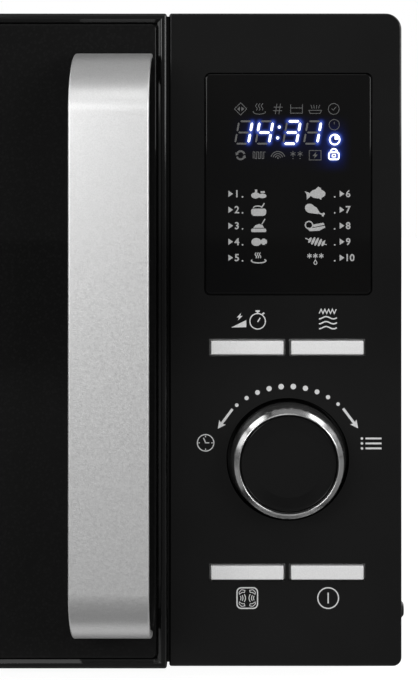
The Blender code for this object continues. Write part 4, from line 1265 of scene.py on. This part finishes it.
def knob_scale():
    """Ten dots over the knob that swell towards the middle, an arrow each way, and two signs."""
    pen = Pen()
    pen.move(*KNOB)
    for i in range(SCALE_DOTS):
        t = abs(2 * i / (SCALE_DOTS - 1) - 1)
        x, z = on_scale(130.2 - 79.2 * i / (SCALE_DOTS - 1))
        pen.disc(x, z, 1.2 - 0.42 * t**1.5)
    for tail, head in ((134.4, 152.2), (46.2, 28.2)):
        a, b = Vector(on_scale(tail)), Vector(on_scale(head))
        along = (b - a).normalized()
        across = Vector((-along.y, along.x))
        neck = b - along * 3.0
        pen.stroke([a, neck + along * 0.3], 1.05)
        barb = neck - along * 0.4
        pen.fill([b, barb + across * 1.7, neck + along * 0.3, barb - across * 1.7])
    x, z = on_scale(164.4, 36.3)
    pen.ring(x, z, 3.5, 0.42)
    pen.stroke([(x - 0.9, z + 2.1), (x, z), (x + 1.6, z)], 0.42)
    for u, v in ((0, 1), (1, 0), (0, -1), (-1, 0)):
        pen.stroke([(x + u * 2.4, z + v * 2.4), (x + u * 3.0, z + v * 3.0)], 0.4)
    x, z = on_scale(15.2, 36.3)
    for row in (2.1, 0.0, -2.1):
        pen.disc(x - 3.7, z + row, 0.55)
        pen.stroke([(x - 2.2, z + row), (x + 4.6, z + row)], 0.75)
    pen.make("knob_scale", "print", 0.0, "printed_marks")


# The rest of the oven


SIDE_HEAD, BACK_HEAD = 6.0, 4.4  # heights of the screws' heads


def screw_head(node, axis, head, look="zinc"):
    """A pan head screw with a cross recess and a washer, in place of its plain CAD node."""
    low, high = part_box(node)
    centre = (low + high) / 2
    direction = Vector(axis)
    at = centre + direction * (abs((high - low).dot(direction)) / 2 - head * MM)
    crown = [(0, head), (2.8, head - 0.3), (4.0, head - 1.5)]
    crown += [(4.2, 1.2), (4.6, 1.1), (4.7, 0.0), (1.6, 0.0)]
    shank = [(1.6, -5.8), (0, -5.8)]
    screw = turned(f"{node}_finish", at, axis, softened(crown, 0.4) + shank, look, steps=40)
    cuts = []
    swing = Vector((0, 0, 1)).rotation_difference(direction).to_matrix().to_4x4()
    place = Matrix.Translation(at + direction * head * MM) @ swing
    for width, length in ((0.9, 4.2), (4.2, 0.9)):
        bm = bmesh.new()
        bar = Matrix.Diagonal((width * MM, length * MM, 3.6 * MM, 1))
        bmesh.ops.create_cube(bm, size=1.0, matrix=bar)
        bmesh.ops.transform(bm, matrix=place, verts=bm.verts[:])
        cuts.append(new_object("cross", bm, look))
    carved(screw, *cuts)
    finished(screw, "cabinet", "zinc_screw", node)


def glass_tray():
    """The turntable plate: a shallow dish with a rolled rim and two raised rings."""
    low, high = span("turntable_tray", 2)
    left, right = span("turntable_tray", 0)
    radius = (right - left) / 2
    under = high - 12.0
    top = [(0, under + 4), (38, under + 4), (40, under + 4.7), (42, under + 4), (84, under + 4),
           (86, under + 4.7), (88, under + 4), (radius - 20, under + 4), (radius - 6.5, under + 10),
           (radius - 1.2, under + 12), (radius, under + 11), (radius - 4, under + 7),
           (radius - 17, under), (23, under), (22, low + 0.1), (19, low + 0.1), (18, under), (0, under)]
    tray = turned("glass_tray", world(*TABLE, 0), UP, softened(top, 1.2), "clear", steps=120)
    finished(tray, "tray", "clear_glass", "turntable_tray", angle=60)


def refine_nodes():
    """Joined, softly bevelled copies of the CAD nodes that are seen close up."""
    refined("outer_wrapper", "cabinet", 0.25)
    refined("cavity_liner", "cabinet")
    refined("front_frame", "cabinet")
    refined("choke_cover", "door", 0.2)
    refined("rear_spacer", "cabinet", 0.5)
    refined("cord_gland", "cabinet")
    refined("coupler", "turntable_drive", 0.3)
    refined("roller_ring", "roller_ring", 0.3)
    for i in (1, 2, 3):
        refined(f"roller_{i}", f"roller_{i}", 0.4)
    for name in KEYS:
        refined(f"button_{name}", f"{name}_button", 0.1)
    for end in ("front", "rear"):
        for side in ("left", "right"):
            refined(f"foot_{end}_{side}", "cabinet", 0.4)


def build_oven():
    dress_nodes()
    door_rim()
    door_pane()
    handle()
    control_panel()
    lens()
    glow()
    display()
    programme_list()
    key_signs()
    knob()
    knob_scale()
    glass_tray()
    refine_nodes()
    screw_head("side_screw_left", (-1, 0, 0), SIDE_HEAD, "black_zinc")
    screw_head("side_screw_right", (1, 0, 0), SIDE_HEAD, "black_zinc")
    for place in ("left", "middle", "right"):
        screw_head(f"back_screw_{place}", (0, 1, 0), BACK_HEAD)


# Studio

CAMERA_X, CAMERA_Z = 167.14, 212.06
CAMERA_DISTANCE = 650.0
VIEW_HEIGHT = 288.32  # what the picture takes in at the control panel's plane
VIEW_CENTRE = 160.78, 148.46
SENSOR = 36.0


def camera():
    data = bpy.data.cameras.new("camera")
    data.sensor_width = SENSOR
    data.lens = SENSOR * CAMERA_DISTANCE / VIEW_HEIGHT
    data.shift_x = (VIEW_CENTRE[0] - CAMERA_X) / VIEW_HEIGHT
    data.shift_y = (VIEW_CENTRE[1] - CAMERA_Z) / VIEW_HEIGHT
    obj = bpy.data.objects.new("camera", data)
    bpy.context.scene.collection.objects.link(obj)
    obj.location = world(CAMERA_X, -CAMERA_DISTANCE, CAMERA_Z)
    obj.rotation_euler = (math.radians(90), 0, 0)
    bpy.context.scene.camera = obj


def softbox(name, at, target, size, power):
    """A rectangular studio light, in metres, pointed at a target."""
    data = bpy.data.lights.new(name, "AREA")
    data.shape = "RECTANGLE"
    data.size, data.size_y = size
    data.energy = power
    obj = bpy.data.objects.new(name, data)
    bpy.context.scene.collection.objects.link(obj)
    obj.location = at
    obj.rotation_euler = (Vector(target) - Vector(at)).to_track_quat("-Z", "Y").to_euler()


def lights():
    front = (0.12, -0.17, 0.24)
    softbox("key_left", (-0.44, -1.15, 0.46), front, (0.7, 0.4), 6.2)
    softbox("key_right", (1.0, -1.05, 0.46), front, (0.7, 0.4), 6.2)
    softbox("front_high", (0.12, -1.05, 1.15), front, (0.6, 0.5), 1.4)
    softbox("bounce_card", (0.0, -0.183, 0.001), (0.0, -0.183, 1.0), (0.5, 0.027), 0.02)
    softbox("high_left", (-0.6, -0.40, 1.05), front, (0.5, 0.5), 2.0)
    softbox("high_right", (0.95, -0.40, 1.05), front, (0.5, 0.5), 2.0)
    softbox("strip_left", (-1.3, -0.45, 0.62), front, (0.5, 0.6), 1.5)
    softbox("strip_right", (1.6, -0.45, 0.62), front, (0.5, 0.6), 1.5)
    softbox("overhead", (0.0, 1.3, 1.2), (0, 0.1, 0.1), (1.6, 0.5), 4)
    softbox("back_left", (-1.5, 1.6, 0.9), (0, 0.1, 0.1), (2.0, 1.2), 20)
    softbox("back_right", (1.6, 1.5, 0.9), (0, 0.1, 0.1), (2.0, 1.2), 20)


ROOM = 0.26  # how bright the room is


def studio_world():
    """White behind the oven, and a dim room that it reflects."""
    made = bpy.data.worlds.new("studio")
    bpy.context.scene.world = made
    made.use_nodes = True
    tree = made.node_tree
    room = tree.nodes["Background"]
    room.inputs["Color"].default_value = (ROOM, ROOM, ROOM, 1)
    backdrop = tree.nodes.new("ShaderNodeBackground")
    backdrop.inputs["Color"].default_value = (1, 1, 1, 1)
    seen = tree.nodes.new("ShaderNodeLightPath")
    mix = tree.nodes.new("ShaderNodeMixShader")
    tree.links.new(seen.outputs["Is Camera Ray"], mix.inputs[0])
    tree.links.new(room.outputs[0], mix.inputs[1])
    tree.links.new(backdrop.outputs[0], mix.inputs[2])
    tree.links.new(mix.outputs[0], tree.nodes["World Output"].inputs[0])


FLOOR_SHINE = 0.96  # the floor's own light, which only the camera sees


def floor():
    """A pale table top that stays white under the oven, and is dimmer where the oven reflects it."""
    bm = bmesh.new()
    bmesh.ops.create_grid(bm, x_segments=8, y_segments=8, size=6.0)
    look = Look("pale_floor", grey(0.22), 0.8)
    look.vary_colour(look.noise(300), grey(0.21), grey(0.23))
    look.vary_roughness(look.noise(200), 0.75, 0.9)
    seen = look.add("LightPath").outputs["Is Camera Ray"]
    shine = look.spread(seen, 0.0, FLOOR_SHINE, start=0.0, end=1.0)
    look.join(shine, look.shader.inputs["Emission Strength"])
    look.put("Emission Color", (1, 1, 1, 1))
    MATERIAL["floor"] = look.material
    obj = new_object("floor", bm, "floor")
    obj.location.z = -0.0004


def colour_view():
    settings = bpy.context.scene.view_settings
    settings.view_transform = "Standard"
    settings.look = "None"


build_oven()
floor()
studio_world()
lights()
camera()
colour_view()
